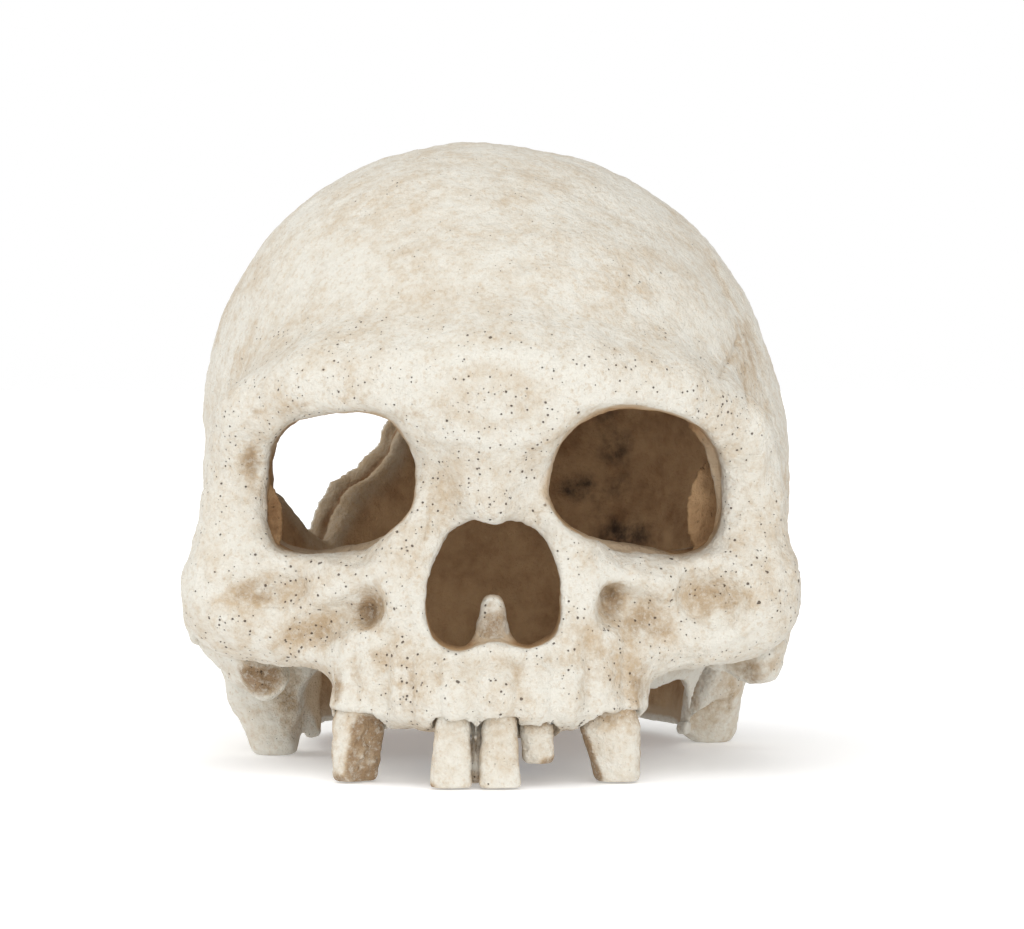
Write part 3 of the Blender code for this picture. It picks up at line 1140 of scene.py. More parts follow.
# Openings seen from in front, as (x, z), and the edge of the break in space.
RIGHT_EYE = (
    (-44.4, 77.0), (-36.0, 78.5), (-28.0, 79.3), (-22.6, 77.6), (-18.0, 72.0), (-16.3, 65.5),
    (-17.0, 60.0), (-19.0, 56.4), (-23.4, 52.6), (-29.0, 50.0), (-36.0, 48.4), (-42.0, 47.9),
    (-48.4, 49.4), (-49.9, 56.0), (-49.6, 62.3), (-48.6, 71.0),
)
LEFT_EYE = (
    (11.2, 64.5), (12.8, 71.2), (17.4, 76.6), (24.4, 79.6), (32.0, 79.9), (39.8, 78.2),
    (45.6, 74.4), (48.3, 69.8), (49.6, 60.2), (47.8, 50.4), (42.0, 47.8), (36.0, 48.1),
    (22.2, 51.4), (16.8, 54.0), (13.4, 57.0), (11.4, 60.6),
)
NOSE = (
    (-14.8, 42.5), (-14.7, 34.9), (-12.9, 30.9), (-9.8, 28.9), (-6.8, 28.7), (-3.6, 30.2),
    (0.0, 31.0), (3.4, 30.2), (6.8, 29.0), (9.6, 29.9), (12.4, 31.6), (13.8, 34.2),
    (14.3, 38.5), (13.9, 44.7), (12.4, 49.4), (9.7, 53.2), (6.4, 55.7), (3.0, 56.5),
    (1.0, 55.7), (-1.2, 55.8), (-3.6, 56.5), (-6.5, 56.0), (-9.4, 53.9), (-11.9, 50.4),
    (-13.6, 46.6),
)
BREAK_OUTLINE = (
    (-46.5, 57, 49.5), (-44.8, 60, 55), (-41, 64, 60), (-36, 68, 63.5), (-30.5, 72, 69.5),
    (-27.5, 73, 75), (-25, 71, 85), (-29, 66, 94), (-25, 62, 103), (-30, 52, 113),
    (-29, 40, 121), (-33, 28, 128), (-31.5, 14, 135), (-38, 10, 131), (-42, 22, 124),
    (-48, 26, 115), (-46, 34, 109), (-56, 32, 100), (-53, 40, 91), (-61, 33, 84),
    (-58, 39, 74), (-62, 36, 66), (-56, 46, 60), (-52, 51, 52),
)


# Lines over the face as (x, z) points, with a width and a depth.
CRACKS = (
    (((47.6, 114.5), (50.5, 108.0), (53.6, 101.5), (55.0, 97.0), (54.2, 94.0)), 0.8, 0.7),
    (((54.2, 94.0), (52.5, 91.0), (50.0, 88.5), (48.5, 86.5)), 0.7, 0.6),
    (((54.2, 94.0), (55.6, 90.0), (55.0, 85.0), (54.4, 80.0)), 0.7, 0.5),
    (((-13.4, 60.5), (-13.8, 57.0), (-14.8, 52.0)), 0.7, 0.4),
    (((-17.6, 42.5), (-18.0, 38.0), (-17.6, 34.0)), 0.8, 0.45),
    (((-19.5, 24.5), (-19.8, 20.0), (-19.4, 16.5)), 0.7, 0.4),
)
# Single pits as (x, z, width, depth).
PITS = (
    (-26.9, 100.4, 0.9, 0.9), (6.5, 111.0, 1.3, 1.0), (25.3, 124.1, 0.9, 0.6),
    (-52.0, 66.5, 1.0, 1.0), (1.6, 31.2, 0.9, 1.2), (7.6, 19.2, 0.8, 0.6),
)
# Root bulges and the grooves between, as (x, width, height).
ROOTS = (
    (-32.0, 1.9, 0.9), (-27.4, 1.8, 0.6), (-23.4, 1.3, -1.0), (-20.2, 1.7, 0.8),
    (-17.6, 0.8, -0.7), (-14.4, 1.8, 0.8), (-11.6, 0.8, -0.6), (-8.8, 2.2, 0.8),
    (-4.6, 1.4, -0.8), (0.4, 2.4, 0.7), (4.8, 1.2, -0.8), (8.9, 2.2, 0.6), (12.6, 1.2, -0.6),
    (16.2, 1.8, 0.6), (19.8, 1.2, -0.8), (24.0, 2.2, 0.9), (28.0, 1.0, -0.9), (31.4, 1.8, 0.8),
)
# Blots on the lining as (spot, radii, strength).
BLOTS = (
    ((20.8, 60, 58.2), (6.5, 40, 3.6), 1.15),
    ((28.5, 60, 68.5), (5.0, 40, 7.5), 0.85),
    ((26.0, 60, 76.0), (4.0, 40, 3.4), 0.75),
    ((28.5, 60, 59.0), (6.0, 40, 5.0), 0.6),
    ((31.0, 60, 46.5), (9.5, 40, 6.5), 0.85),
    ((24.5, 60, 53.0), (3.0, 40, 8.0), 0.6),
)
# The thin flaps inside the eyes, as (spot, radii), which take the colour of the lining.
FLAPS = (
    ((43.0, -35.5, 58.0), (7.0, 3.4, 13.0)),
    ((-47.5, -37.5, 56.0), (4.5, 3.4, 12.0)),
)
# A patch of painted light on the lining, where the lamps do not reach, and the tip of bone in the nose,
# as (spot, radii).
PAINTED_LIGHT_ON_LINING = ((42.0, 50, 62.0), (24.0, 60, 24.0))
NASAL_TIP = ((-0.5, -61.0, 34.0), (4.0, 6.0, 6.0))
# Pooled wash on the face as (spot, radii, strength).
STAINS = (
    ((-17.5, -66, 79.5), (6.5, 12, 2.6), 0.95),
    ((-30.0, -62, 82.5), (9.0, 12, 1.8), 0.5),
    ((-41.5, -60, 80.5), (4.0, 12, 2.0), 0.8),
    ((-51.0, -50, 79.0), (4.5, 12, 2.5), 0.8),
    ((-52.5, -50, 68.5), (3.6, 12, 6.5), 0.85),
    ((-50.5, -55, 40.4), (10.0, 12, 4.6), 0.75),
    ((-27.6, -62, 37.0), (5.0, 9, 5.4), 1.1),
    ((-39.5, -58, 31.5), (11.0, 9, 5.0), 0.75),
    ((-30.0, -56, 22.0), (6.0, 16, 9.0), 0.6),
    ((-33.5, -56, 20.0), (2.2, 16, 8.0), 0.9),
    ((-24.0, -66, 27.0), (5.0, 16, 3.0), 0.6),
    ((-26.0, -62, 18.0), (12.0, 16, 10.0), 0.38),
    ((-17.5, -66, 22.0), (1.6, 16, 9.0), 0.75),
    ((-11.6, -68, 22.0), (1.2, 16, 7.0), 0.6),
    ((4.8, -68, 22.0), (1.2, 16, 7.0), 0.6),
    ((19.8, -64, 22.0), (1.4, 16, 8.0), 0.7),
    ((24.9, -62, 38.4), (4.2, 9, 5.4), 1.0),
    ((33.6, -60, 34.0), (10.0, 9, 6.5), 0.75),
    ((46.8, -54, 38.8), (9.5, 9, 6.5), 0.65),
    ((22.0, -64, 26.0), (8.0, 14, 7.0), 0.55),
    ((30.0, -58, 20.0), (3.4, 14, 9.0), 0.8),
    ((7.0, -68, 18.0), (3.0, 9, 6.0), 0.6),
    ((-0.5, -62, 33.5), (4.0, 6, 6.0), 1.3),
    ((-9.8, -72, 52.0), (4.0, 14, 9.0), 0.55),
    ((-17.6, -62, 43.0), (2.6, 14, 8.0), 0.5),
    ((14.0, -66, 44.0), (3.0, 14, 9.0), 0.45),
    ((20.0, -50, 104.0), (10.0, 30, 6.0), 0.3),
    ((-30.0, -40, 108.0), (9.0, 30, 9.0), 0.25),
    ((55.0, -20, 92.0), (5.0, 22, 9.0), 0.7),
    ((-59.0, -20, 92.0), (6.0, 26, 12.0), 0.45),
    ((-52.0, -31, 20.0), (6.4, 4, 4.6), 1.9),
    ((-56.0, -26, 17.0), (8.0, 8, 3.0), 0.9),
    ((-46.0, -12, 12.0), (4.0, 12, 10.0), 0.9),
    ((-52.0, -8, 8.0), (11.0, 14, 12.0), 0.35),
    ((57.0, -27, 20.0), (6.0, 6, 4.5), 1.0),
    ((45.5, 12, 15.0), (3.0, 11, 13.0), 0.9),
    ((51.0, 14, 10.0), (11.0, 14, 14.0), 0.4),
    ((54.5, 14, 10.0), (1.4, 9, 8.0), 0.9),
    ((60.0, 0, 60.0), (12.0, 40, 30.0), 0.4),
    ((47.0, -48, 54.0), (3.0, 10, 5.0), 0.6),
)


@dataclass(frozen=True)
class Breach(Shape):
    """The ragged hole, as a straight push through the wall.

    Args:
        outline: corners in space, in order.
        through: the direction of the push.
        middle: a point that the push goes through.
        depth: how far it goes in and out from there.
    """

    outline: tuple[Point, ...] = BREAK_OUTLINE
    through: Point = (-0.68, 0.60, 0.42)
    middle: Point = (-44.0, 50.0, 90.0)
    depth: tuple[float, float] = (-26.0, 44.0)

    def _frame(self) -> tuple[Array, Array, Array]:
        """The push's direction and two directions across it.

        Returns:
            Three unit vectors.
        """
        along = np.array(self.through) / np.linalg.norm(self.through)
        across = np.cross(along, (0.0, 0.0, 1.0))
        across /= np.linalg.norm(across)
        return along, across, np.cross(along, across)

    def distance(self, x: Array, y: Array, z: Array) -> Array:
        """Signed distance at each point.

        Args:
            x: places across the face.
            y: places from front to back.
            z: heights.

        Returns:
            The distances, negative inside.
        """
        along, across, up = self._frame()
        corners = np.array(self.outline) - np.array(self.middle)
        flat = tuple(zip(corners @ across, corners @ up))
        dx, dy, dz = (c - m for c, m in zip((x, y, z), self.middle))
        u, v, w = (dx * d[0] + dy * d[1] + dz * d[2] for d in (across, up, along))
        return np.maximum(outline_distance(u, v, flat), np.maximum(self.depth[0] - w, w - self.depth[1]))

    def box(self) -> tuple[Array, Array]:
        """Lowest and highest corner."""
        return np.array([-85.0, -5.0, 40.0]), np.array([-8.0, 90.0, 142.0])


@dataclass
class Skull:
    """The one-piece cast: braincase, face, upper jaw, feet, and the holes through them.

    Args:
        name: the piece's name.
        height: table to crown.
        half_width: braincase at its widest.
        wall: the cast's thickness.
        rear_web: Y of the two faces of the web that the air inlet sits in.
        inlet: (x, z) of the air line.
        inlet_hole: radius of the hole through the web.
        spot_face: radius of the flat round it.
        finish: its paint.
    """

    name: str = "skull"
    height: float = 139.0
    half_width: float = 66.5
    wall: float = 6.0
    rear_web: tuple[float, float] = (62.0, 66.0)
    inlet: tuple[float, float] = (-1.0, 15.5)
    inlet_hole: float = 4.2
    spot_face: float = 7.6
    finish: AgedBone = AgedBone()

    def build(self, teeth: "Sequence[Tooth]") -> bpy.types.Object:
        """Sculpts, skins, roughens and paints the cast.

        Args:
            teeth: the separate teeth, which it gets sockets for.

        Returns:
            The finished piece.
        """
        outer = Clay([grid_lines(*stretches) for stretches in GRID])
        self._outside(outer)
        self._details(outer)
        shell = outer.empty_copy()
        cavity = outer.empty_copy()
        self._inside(cavity)
        shell.field = -smooth_min(-outer.field, cavity.field, 1.5)
        self._openings(shell, outer)
        for tooth in teeth:
            shell.carve(tooth.socket(), 0.6)
        self._seats(shell)
        shell.field = np.maximum(shell.field, -shell.axes[2].reshape(1, 1, -1))
        points, faces = largest_part(*shell.skin())
        LOG.info("%s: %d points, %d faces", self.name, len(points), len(faces))
        depth = -outer.sample(outer.field, points)
        relief = shell.sample(shell.softened(10), points)
        points = self._roughened(points, faces, depth)
        marks = self._marks(points, depth, relief)
        made = mesh_piece(self.name, points, faces, marks)
        made.data.materials.append(self.finish.make())
        return made

    # ---- shapes

    def _braincase(self, inset: float) -> list[Shape]:
        """Crown, forehead, sides and the back of the head, drawn in by the inset.

        Args:
            inset: how much smaller than the outside.

        Returns:
            The shapes to add.
        """
        half = self.half_width - inset
        top = self.height
        return [
            Lump((-1.6, 10, top - 61.5), (half - 0.7, 69 - inset, 61.5 - inset)),
            Lump((-6, 6, top - 49), (56 - inset, 60 - inset, 49 - inset)),
            Lump((1.0, 12, 69), (half, 68 - inset, 56 - inset)),
            Lump((0, -12, 82), (59 - inset, 54 - inset, 46 - inset)),
        ]

    def _skirt(self, inset: float, foot: float) -> Shape:
        """The lower back of the cast, which comes down almost to the table.

        Args:
            inset: how much smaller than the outside.
            foot: height of its lower end.

        Returns:
            The shape to add.
        """
        return Loft(
            (
                (foot, 0, 24, 46 - inset, 42 - inset),
                (20, 0, 22, 51 - inset, 46 - inset),
                (45, 0, 18, 55 - inset, 54.5 - inset),
                (58, 0, 17, 50 - inset, 50 - inset),
            )
        )

    def _outside(self, clay: Clay) -> None:
        """Everything that the cast's outer surface is made of.

        Args:
            clay: the cast while it is still solid.
        """
        for shape in self._braincase(0.3):
            clay.add(shape, 2.5)
        clay.add(self._skirt(0.3, 3.0), 12.0)
        self._brow(clay)
        self._cheeks(clay)
        self._arches(clay)
        self._jaw(clay)
        self._feet(clay)
        # Thicker wall for the air inlet, and the pad below it.
        x, z = self.inlet
        clay.add(Limb((((x, 58, z), 10), ((x, 60, z), 10))), 4.0)
        clay.add(Lump((0, 61, 4), (13, 5, 8)), 3.0)

    def _brow(self, clay: Clay) -> None:
        """The ridge over the eyes and the bars outside and between them.

        Args:
            clay: the cast while it is still solid.
        """
        for side, reach, drop in ((-1, 54, 0), (1, 53, 3)):
            ridge = (
                ((-1, -63.5, 82), 8.0),
                ((side * 20, -65.3, 85), 7.0),
                ((side * 38, -58.6, 85.0 - drop), 6.6),
                ((side * (reach - 1), -46.6, 78 - drop), 5.4),
            )
            clay.add(Limb(ridge), 18.0)
            rim = (
                ((side * (reach - 1), -46.4, 77 - drop), 5.4),
                ((side * (reach + 1.5), -42, 60), 5.5),
                ((side * (reach - 1), -42, 46), 7),
            )
            clay.add(Limb(rim), 6.0)
            # Bars behind the rim, which carry the eye's outer wall back into the braincase.
            clay.add(Limb((((side * 54.5, -37, 71), 6), ((side * 55.5, -12, 66), 8))), 9.0)
            clay.add(Limb((((side * 54.2, -37, 62), 6), ((side * 55, -12, 58), 7.5))), 9.0)
            clay.add(Limb((((side * 54.5, -37, 54), 6.5), ((side * 55.5, -12, 50), 8))), 9.0)
            clay.add(Limb((((side * 54, -36, 47), 6.5), ((side * 52, -24, 44), 7))), 6.0)
        # The root of the nose.
        clay.add(Lump((-1.5, -55, 69), (13.5, 15, 22)), 4.0)
        clay.add(Limb((((-1, -62, 76), 8), ((-0.8, -66, 60), 4.5))), 4.0)

    def _cheeks(self, clay: Clay) -> None:
        """Cheekbones and the bone below each eye.

        Args:
            clay: the cast while it is still solid.
        """
        for side, x in ((-1, 54), (1, 52)):
            clay.add(Lump((side * x, -42, 37), (13, 13, 12)), 9.0)
            clay.add(Limb((((side * (x + 1), -41, 54), 6.5), ((side * (x + 3), -41, 43), 8.5))), 8.0)
            bar = (((side * 18, -58, 40), 9), ((side * 40, -50, 41), 8), ((side * x, -42, 39), 9))
            clay.add(Limb(bar), 8.0)
            clay.add(Limb((((side * 28, -52, 30), 9), ((side * 43, -47, 32), 8))), 8.0)

    def _arches(self, clay: Clay) -> None:
        """Cheek arches that end in broken stubs.

        Args:
            clay: the cast while it is still solid.
        """
        clay.add(Limb((((-61, -34, 37), 7), ((-64, -18, 34), 5.5), ((-60, 4, 30), 7))), 3.0)
        clay.add(Limb((((-63, -22, 31), 6), ((-57.5, -25, 23), 5.6), ((-51.5, -27.5, 20), 5.6))), 2.0)
        clay.add(Limb((((58, -34, 37), 7), ((60, -18, 33), 6), ((58, 6, 30), 7))), 3.0)
        clay.add(Limb((((60, -18, 30), 6), ((59, -24, 22.5), 5.2), ((50, -25, 26), 5))), 2.0)

    def _jaw(self, clay: Clay) -> None:
        """The bone round the nose, with the ridge and root bulges that hold the teeth.

        Args:
            clay: the cast while it is still solid.
        """
        ridge = (
            (12.0, -1, -45, 31, 22), (15, -1, -45, 34, 27), (24, -1, -45, 34.5, 28),
            (34, -1, -45, 34, 25), (44, -1, -45, 36, 21),
        )
        clay.add(Loft(ridge, 2.3), 4.0)
        for side in (-1, 1):
            clay.add(Limb((((side * 16 - 1, -60, 60), 7), ((side * 17 - 1, -58, 40), 9.5))), 5.0)
        # A web of bone in the gap between the two front teeth, and a lip over all of them.
        clay.add(Limb((((-4.2, -70.5, 14), 2.0), ((-4.2, -71.0, 2.5), 1.7))), 1.0)
        lip = (((-15, -66.5, 18.5), 6.0), ((-8.5, -69.8, 18.3), 6.6), ((1.5, -70.6, 20.0), 6.2),
               ((10, -67.5, 19.0), 6.2), ((18, -62, 18.0), 6.0))
        clay.add(Limb(lip), 3.0)
        for tooth in TEETH:
            z, x, y, half_w, half_d = tooth.stations[-2]
            root = (((x, y + 1, z - 3), half_w + 2.1), ((x * 0.97, y + 3, z + 7), half_w + 1))
            clay.add(Limb(root), 2.0)

    def _feet(self, clay: Clay) -> None:
        """The two bony lobes behind the jaw, which the skull stands on."""
        clay.add(Limb((((-55, 6, 38), 11), ((-52, -1, 15), 9.5), ((-50.5, -3, 4), 6))), 8.0)
        clay.add(Limb((((52, 18, 38), 12), ((49.8, 20, 17), 9.0), ((51, 25, 4), 5.5))), 7.0)

    def _inside(self, clay: Clay) -> None:
        """The hollow, a thick wall less than the outside and open below.

        Args:
            clay: the block that becomes the hollow.
        """
        for shape in self._braincase(self.wall):
            clay.add(shape, 3.0)
        clay.add(self._skirt(self.wall, -12.0), 4.0)
        clay.add(Lump((-1.5, -24, 62), (43, 31, 19)), 3.0)
        clay.add(Lump((-1, -32, 18), (23, 26, 34)), 3.0)
        clay.add(Lump((0, -4, 2), (40, 30, 34)), 3.0)

    def _openings(self, shell: Clay, outer: Clay) -> None:
        """Eyes, nose, the tip of bone in it, the broken side, and the gaps in front of the feet.

        Args:
            shell: the hollowed cast.
            outer: the cast while it was still solid.
        """
        # Gaps in front of the feet.
        shell.carve(Limb((((-31.5, -5, 4), 14.0), ((31.0, 0, 4), 14.5))), 1.5)
        shell.carve(Limb((((-34.0, -7, 11.5), 10.0), ((33.5, -2, 11.5), 10.5))), 1.5)
        shell.carve(Window(rounded(RIGHT_EYE), -90, -6, splay=5.0, splay_from=-61), 2.2)
        shell.carve(Window(rounded(LEFT_EYE), -90, -6, splay=5.0, splay_from=-61), 2.2)
        shell.carve(Window(rounded(NOSE), -95, -26, splay=3.0, splay_from=-66), 1.2)
        spine = (((-0.6, -60.5, 28.0), 5.4), ((-0.5, -60.5, 33), 3.5), ((-0.3, -60, 37.6), 2.4))
        shell.add(Limb(spine), 2.0)
        self._plates(shell)
        self._breach(shell, outer)

    def _breach(self, shell: Clay, outer: Clay) -> None:
        """Breaks the side open, with a groove where the wall split along its middle.

        Args:
            shell: the hollowed cast.
            outer: the cast while it was still solid.
        """
        hole = Breach()
        part, coords = shell.part(hole, 8.0)
        away = hole.distance(*coords)
        away = away + Ripple(11.0, SEED).at(*coords) * 0.8 + Ripple(3.6, SEED + 1).at(*coords) * 0.3
        away = away + Ripple(1.8, SEED + 2).at(*coords) * 0.15
        middle = -0.55 * self.wall + Ripple(12.0, SEED + 3).at(*coords) * 0.9
        split = np.exp(-(((outer.field[part] - middle) / 0.75) ** 2))
        away = away - 1.5 * split
        shell.field[part] = -smooth_min(-shell.field[part], away, 0.9)

    def _details(self, clay: Clay) -> None:
        """Hollows, pits and facets in the face, the arches and the feet.

        Args:
            clay: the cast while it is still solid.
        """
        hollows = (
            # In the cheekbones.
            (Lump((-49.5, -56.5, 40.8), (9.0, 4.0, 4.2), (0, -6, 0)), 5.0),
            (Lump((46.5, -56.2, 38.6), (7.5, 4.4, 5.6), (0, 18, 0)), 4.5),
            # Pits below the eyes, each with a deeper bottom.
            (Lump((-27.6, -65.4, 37.8), (4.4, 5.6, 4.8)), 3.0),
            (Lump((-27.2, -62.5, 36.2), (2.4, 5.4, 2.4)), 1.2),
            (Lump((24.8, -65.2, 38.4), (3.4, 6.8, 4.9), (0, 20, 0)), 2.2),
            (Lump((24.2, -62.0, 40.2), (2.2, 5.4, 2.2)), 1.2),
            # Slanting away from the pits.
            (Lump((33.5, -62.6, 34.8), (8.8, 5.8, 4.8), (0, 26, 0)), 4.5),
            (Lump((-38.0, -60.2, 32.2), (9.4, 4.8, 4.6), (0, -32, 0)), 3.5),
            # Above and outside the right eye.
            (Lump((-44.0, -62.5, 74.8), (6.0, 4.5, 3.2)), 3.0),
            (Lump((-52.5, -52.0, 66.0), (2.6, 3.5, 4.4)), 2.0),
            # In the broken end of the right arch.
            (Lump((-54.0, -32.6, 21.4), (1.7, 1.6, 1.1)), 0.6),
            (Lump((-50.2, -32.8, 19.4), (1.4, 1.6, 1.2)), 0.6),
            (Lump((-52.4, -32.8, 17.6), (1.2, 1.3, 0.8)), 0.6),
        )
        for hollow, blend in hollows:
            clay.carve(hollow, blend)
        facets = (
            # Broken ends of the right and the left arch.
            ((-52.0, -31.8, 20.0), (0.18, -0.95, -0.25), 7.5),
            ((-59.5, -27.5, 23.0), (-0.7, -0.5, -0.5), 9.0),
            ((57.2, -26.6, 21.6), (-0.45, -0.88, -0.15), 7.0),
            ((61.4, -25.4, 21.2), (0.75, -0.55, -0.35), 8.0),
            ((59.0, -24.0, 18.6), (0.1, -0.2, -0.98), 6.0),
            # Right and left foot.
            ((-58.5, -9.0, 12.0), (-0.75, -0.62, -0.2), 13.0),
            ((-46.5, -10.8, 13.0), (0.55, -0.82, -0.1), 12.0),
            ((-52.0, -9.5, 3.0), (-0.1, -0.8, -0.6), 6.0),
            ((44.6, 12.2, 16.0), (-0.5, -0.85, -0.1), 10.0),
            ((57.0, 14.5, 12.0), (0.7, -0.7, -0.15), 12.0),
            ((51.0, 18.0, 5.0), (0.1, -0.85, -0.5), 7.0),
        )
        chipped = Ripple(3.2, SEED + 4)
        for point, normal, reach in facets:
            clay.carve(Facet(point, normal, reach), 0.8, lambda *at: chipped.at(*at) * 0.5)

    def _plates(self, shell: Clay) -> None:
        """Thin lips and flaps inside the outer rim of each eye.

        Args:
            shell: the hollowed cast.
        """
        plates = (
            (((42.6, -43, 76.0), 0.9), ((46.2, -43, 71.5), 0.9), ((48.2, -42, 63.8), 0.9),
             ((49.2, -42, 58.0), 0.9), ((48.6, -42, 52.5), 0.9), ((46.4, -42, 48.6), 0.9)),
            (((-50.0, -47, 70.0), 0.8), ((-50.6, -46, 62.0), 0.8), ((-50.2, -46, 54.0), 0.8),
             ((-48.0, -46, 48.8), 0.8)),
        )
        for plate in plates:
            shell.add(Limb(plate), 0.8)
        shell.add(Lump((46.4, -36, 58.0), (5.0, 0.9, 10.5), (0, 8, 25)), 1.0)
        shell.add(Lump((-49.8, -38, 56.0), (3.8, 0.9, 8.0), (0, -8, -25)), 1.0)

    def _seats(self, shell: Clay) -> None:
        """The drilled hole for the air inlet, faced flat on both sides.

        Args:
            shell: the hollowed cast.
        """
        x, z = self.inlet
        front, back = self.rear_web
        shell.carve(Rod((x, front - 24, z), (x, front, z), self.spot_face), 0.5)
        shell.carve(Rod((x, back, z), (x, back + 20, z), self.spot_face), 0.5)
        shell.carve(Rod((x, front - 2, z), (x, back + 2, z), self.inlet_hole), 0.4)

    # ---- surface

    def _roughened(self, points: Array, faces: Array, depth: Array) -> Array:
        """Moves the points along their normals, for the cast's lumpy skin.

        Args:
            points: one row for each corner.
            faces: rows of four point numbers.
            depth: how far each point lies below the outside.

        Returns:
            The moved points.
        """
        facing = normals_of(points, faces)
        x, y, z = points.T
        table = np.clip((z - 0.6) / 1.5, 0.0, 1.0)
        front = np.clip(-y / 25.0, 0.0, 1.0) * np.clip(1.6 - depth, 0.0, 1.0)
        move = sum(rough(points, size, layers, shift) * high for size, layers, shift, high in SKIN_LUMPS)
        face = np.clip((92 - z) / 12, 0.0, 1.0) * np.clip((4 - y) / 20, 0.0, 1.0)
        face *= np.clip(1.5 - depth, 0.15, 1.0)
        move += face * (0.35 - np.abs(rough(points, 8.5, 3, 60.0))) * 0.9
        ahead = np.clip(-facing[:, 1] * 1.6 - 0.3, 0.0, 1.0)
        jaw = front * ahead * np.clip((36 - z) / 10, 0.0, 1.0) * np.clip((z - 8) / 4, 0.0, 1.0)
        move += jaw * self._roots(x)
        for line, width, deep in CRACKS:
            move -= front * along_line(x, z, line, width) * deep
        for px, pz, width, deep in PITS:
            move -= front * np.exp(-((x - px) ** 2 + (z - pz) ** 2) / width**2) * deep
        seat = np.hypot(x - self.inlet[0], z - self.inlet[1]) - self.spot_face - 1.0
        plain = np.clip(seat / 2.0, 0.0, 1.0) + (y < 50)
        return points + facing * (move * table * np.clip(plain, 0, 1))[:, None]

    @staticmethod
    def _roots(x: Array) -> Array:
        """Bulges over the tooth roots and grooves between them, from side to side.

        Args:
            x: places across the jaw.

        Returns:
            How far each stands out.
        """
        total = 0.0
        for middle, width, high in ROOTS:
            total = total + high * np.exp(-(((x - middle) / width) ** 2))
        return total

    def _marks(self, points: Array, depth: Array, relief: Array) -> dict[str, Array]:
        """Where the cast is inside, raised, stained, broken, blotted and pitted, and where light is
        painted on the lining.

        Args:
            points: one row for each corner.
            depth: how far each lies below the outside.
            relief: how far each stands out from what is round it.

        Returns:
            The marks by name.
        """
        x, y, z = points.T
        breach = np.abs(Breach().distance(x, y, z))
        edge = np.exp(-((breach / 2.6) ** 2)) * (depth > 0.7) * (z > 40)
        split = np.exp(-(((depth - 0.55 * self.wall) / 0.9) ** 2)) * edge
        inside = np.clip((depth - 0.8) / 5.0, 0.0, 1.0)
        inside = inside * (1.0 - np.clip(2.0 * near(points, *NASAL_TIP), 0, 1))
        dark = np.zeros(len(points))
        back = np.clip((y + 64.0 - (np.abs(x) - 17.0) * 0.6) / 3.5, 0.0, 1.0)
        for outline in (RIGHT_EYE, LEFT_EYE):
            wall = outline_distance(x, z, rounded(outline))
            rim = back * np.exp(-((wall / 2.6) ** 2)) * (y < 0)
            inside = np.maximum(inside, 0.3 * rim)
        for spot, radii in FLAPS:
            flap = np.clip(3.0 * near(points, spot, radii), 0.0, 1.0)
            inside = np.maximum(inside, flap)
            dark = np.maximum(dark, 0.3 * flap)
        for spot, radii, strength in BLOTS:
            dark = np.maximum(dark, strength * near(points, spot, radii) * (inside > 0.5))
        # Painted light on the back wall seen through the left eye, taken off the dark mark.
        dark -= near(points, *PAINTED_LIGHT_ON_LINING) * (dark < 0.12) * (inside > 0.6)
        stain = np.zeros(len(points))
        for spot, radii, strength in STAINS:
            stain = np.maximum(stain, strength * near(points, spot, radii))
        for line, width, _ in CRACKS:
            stain = np.maximum(stain, 0.6 * along_line(x, z, line, width * 1.2) * (y < 10))
        # Darker towards the bottom of the front, below 13.5 mm.
        under = np.clip((13.5 - z) / 3.0, 0.0, 1.0) * (y < -30) * 1.1
        crown = np.clip((z - 88.0) / 14.0, 0.0, 1.0)
        return {
            "depth": inside,
            "relief": np.clip(relief, -1.5, 1.5),
            "stain": np.maximum(stain, under),
            "broken": np.clip(edge * 1.6, 0.0, 1.0),
            "dark": np.maximum(dark, split * 0.9),
            "crowd": np.clip((-y + 20) / 60.0, 0.0, 1.0) * (1.0 - 0.65 * crown),
        }


# --------------------------------------------------------------------------- teeth and fittings


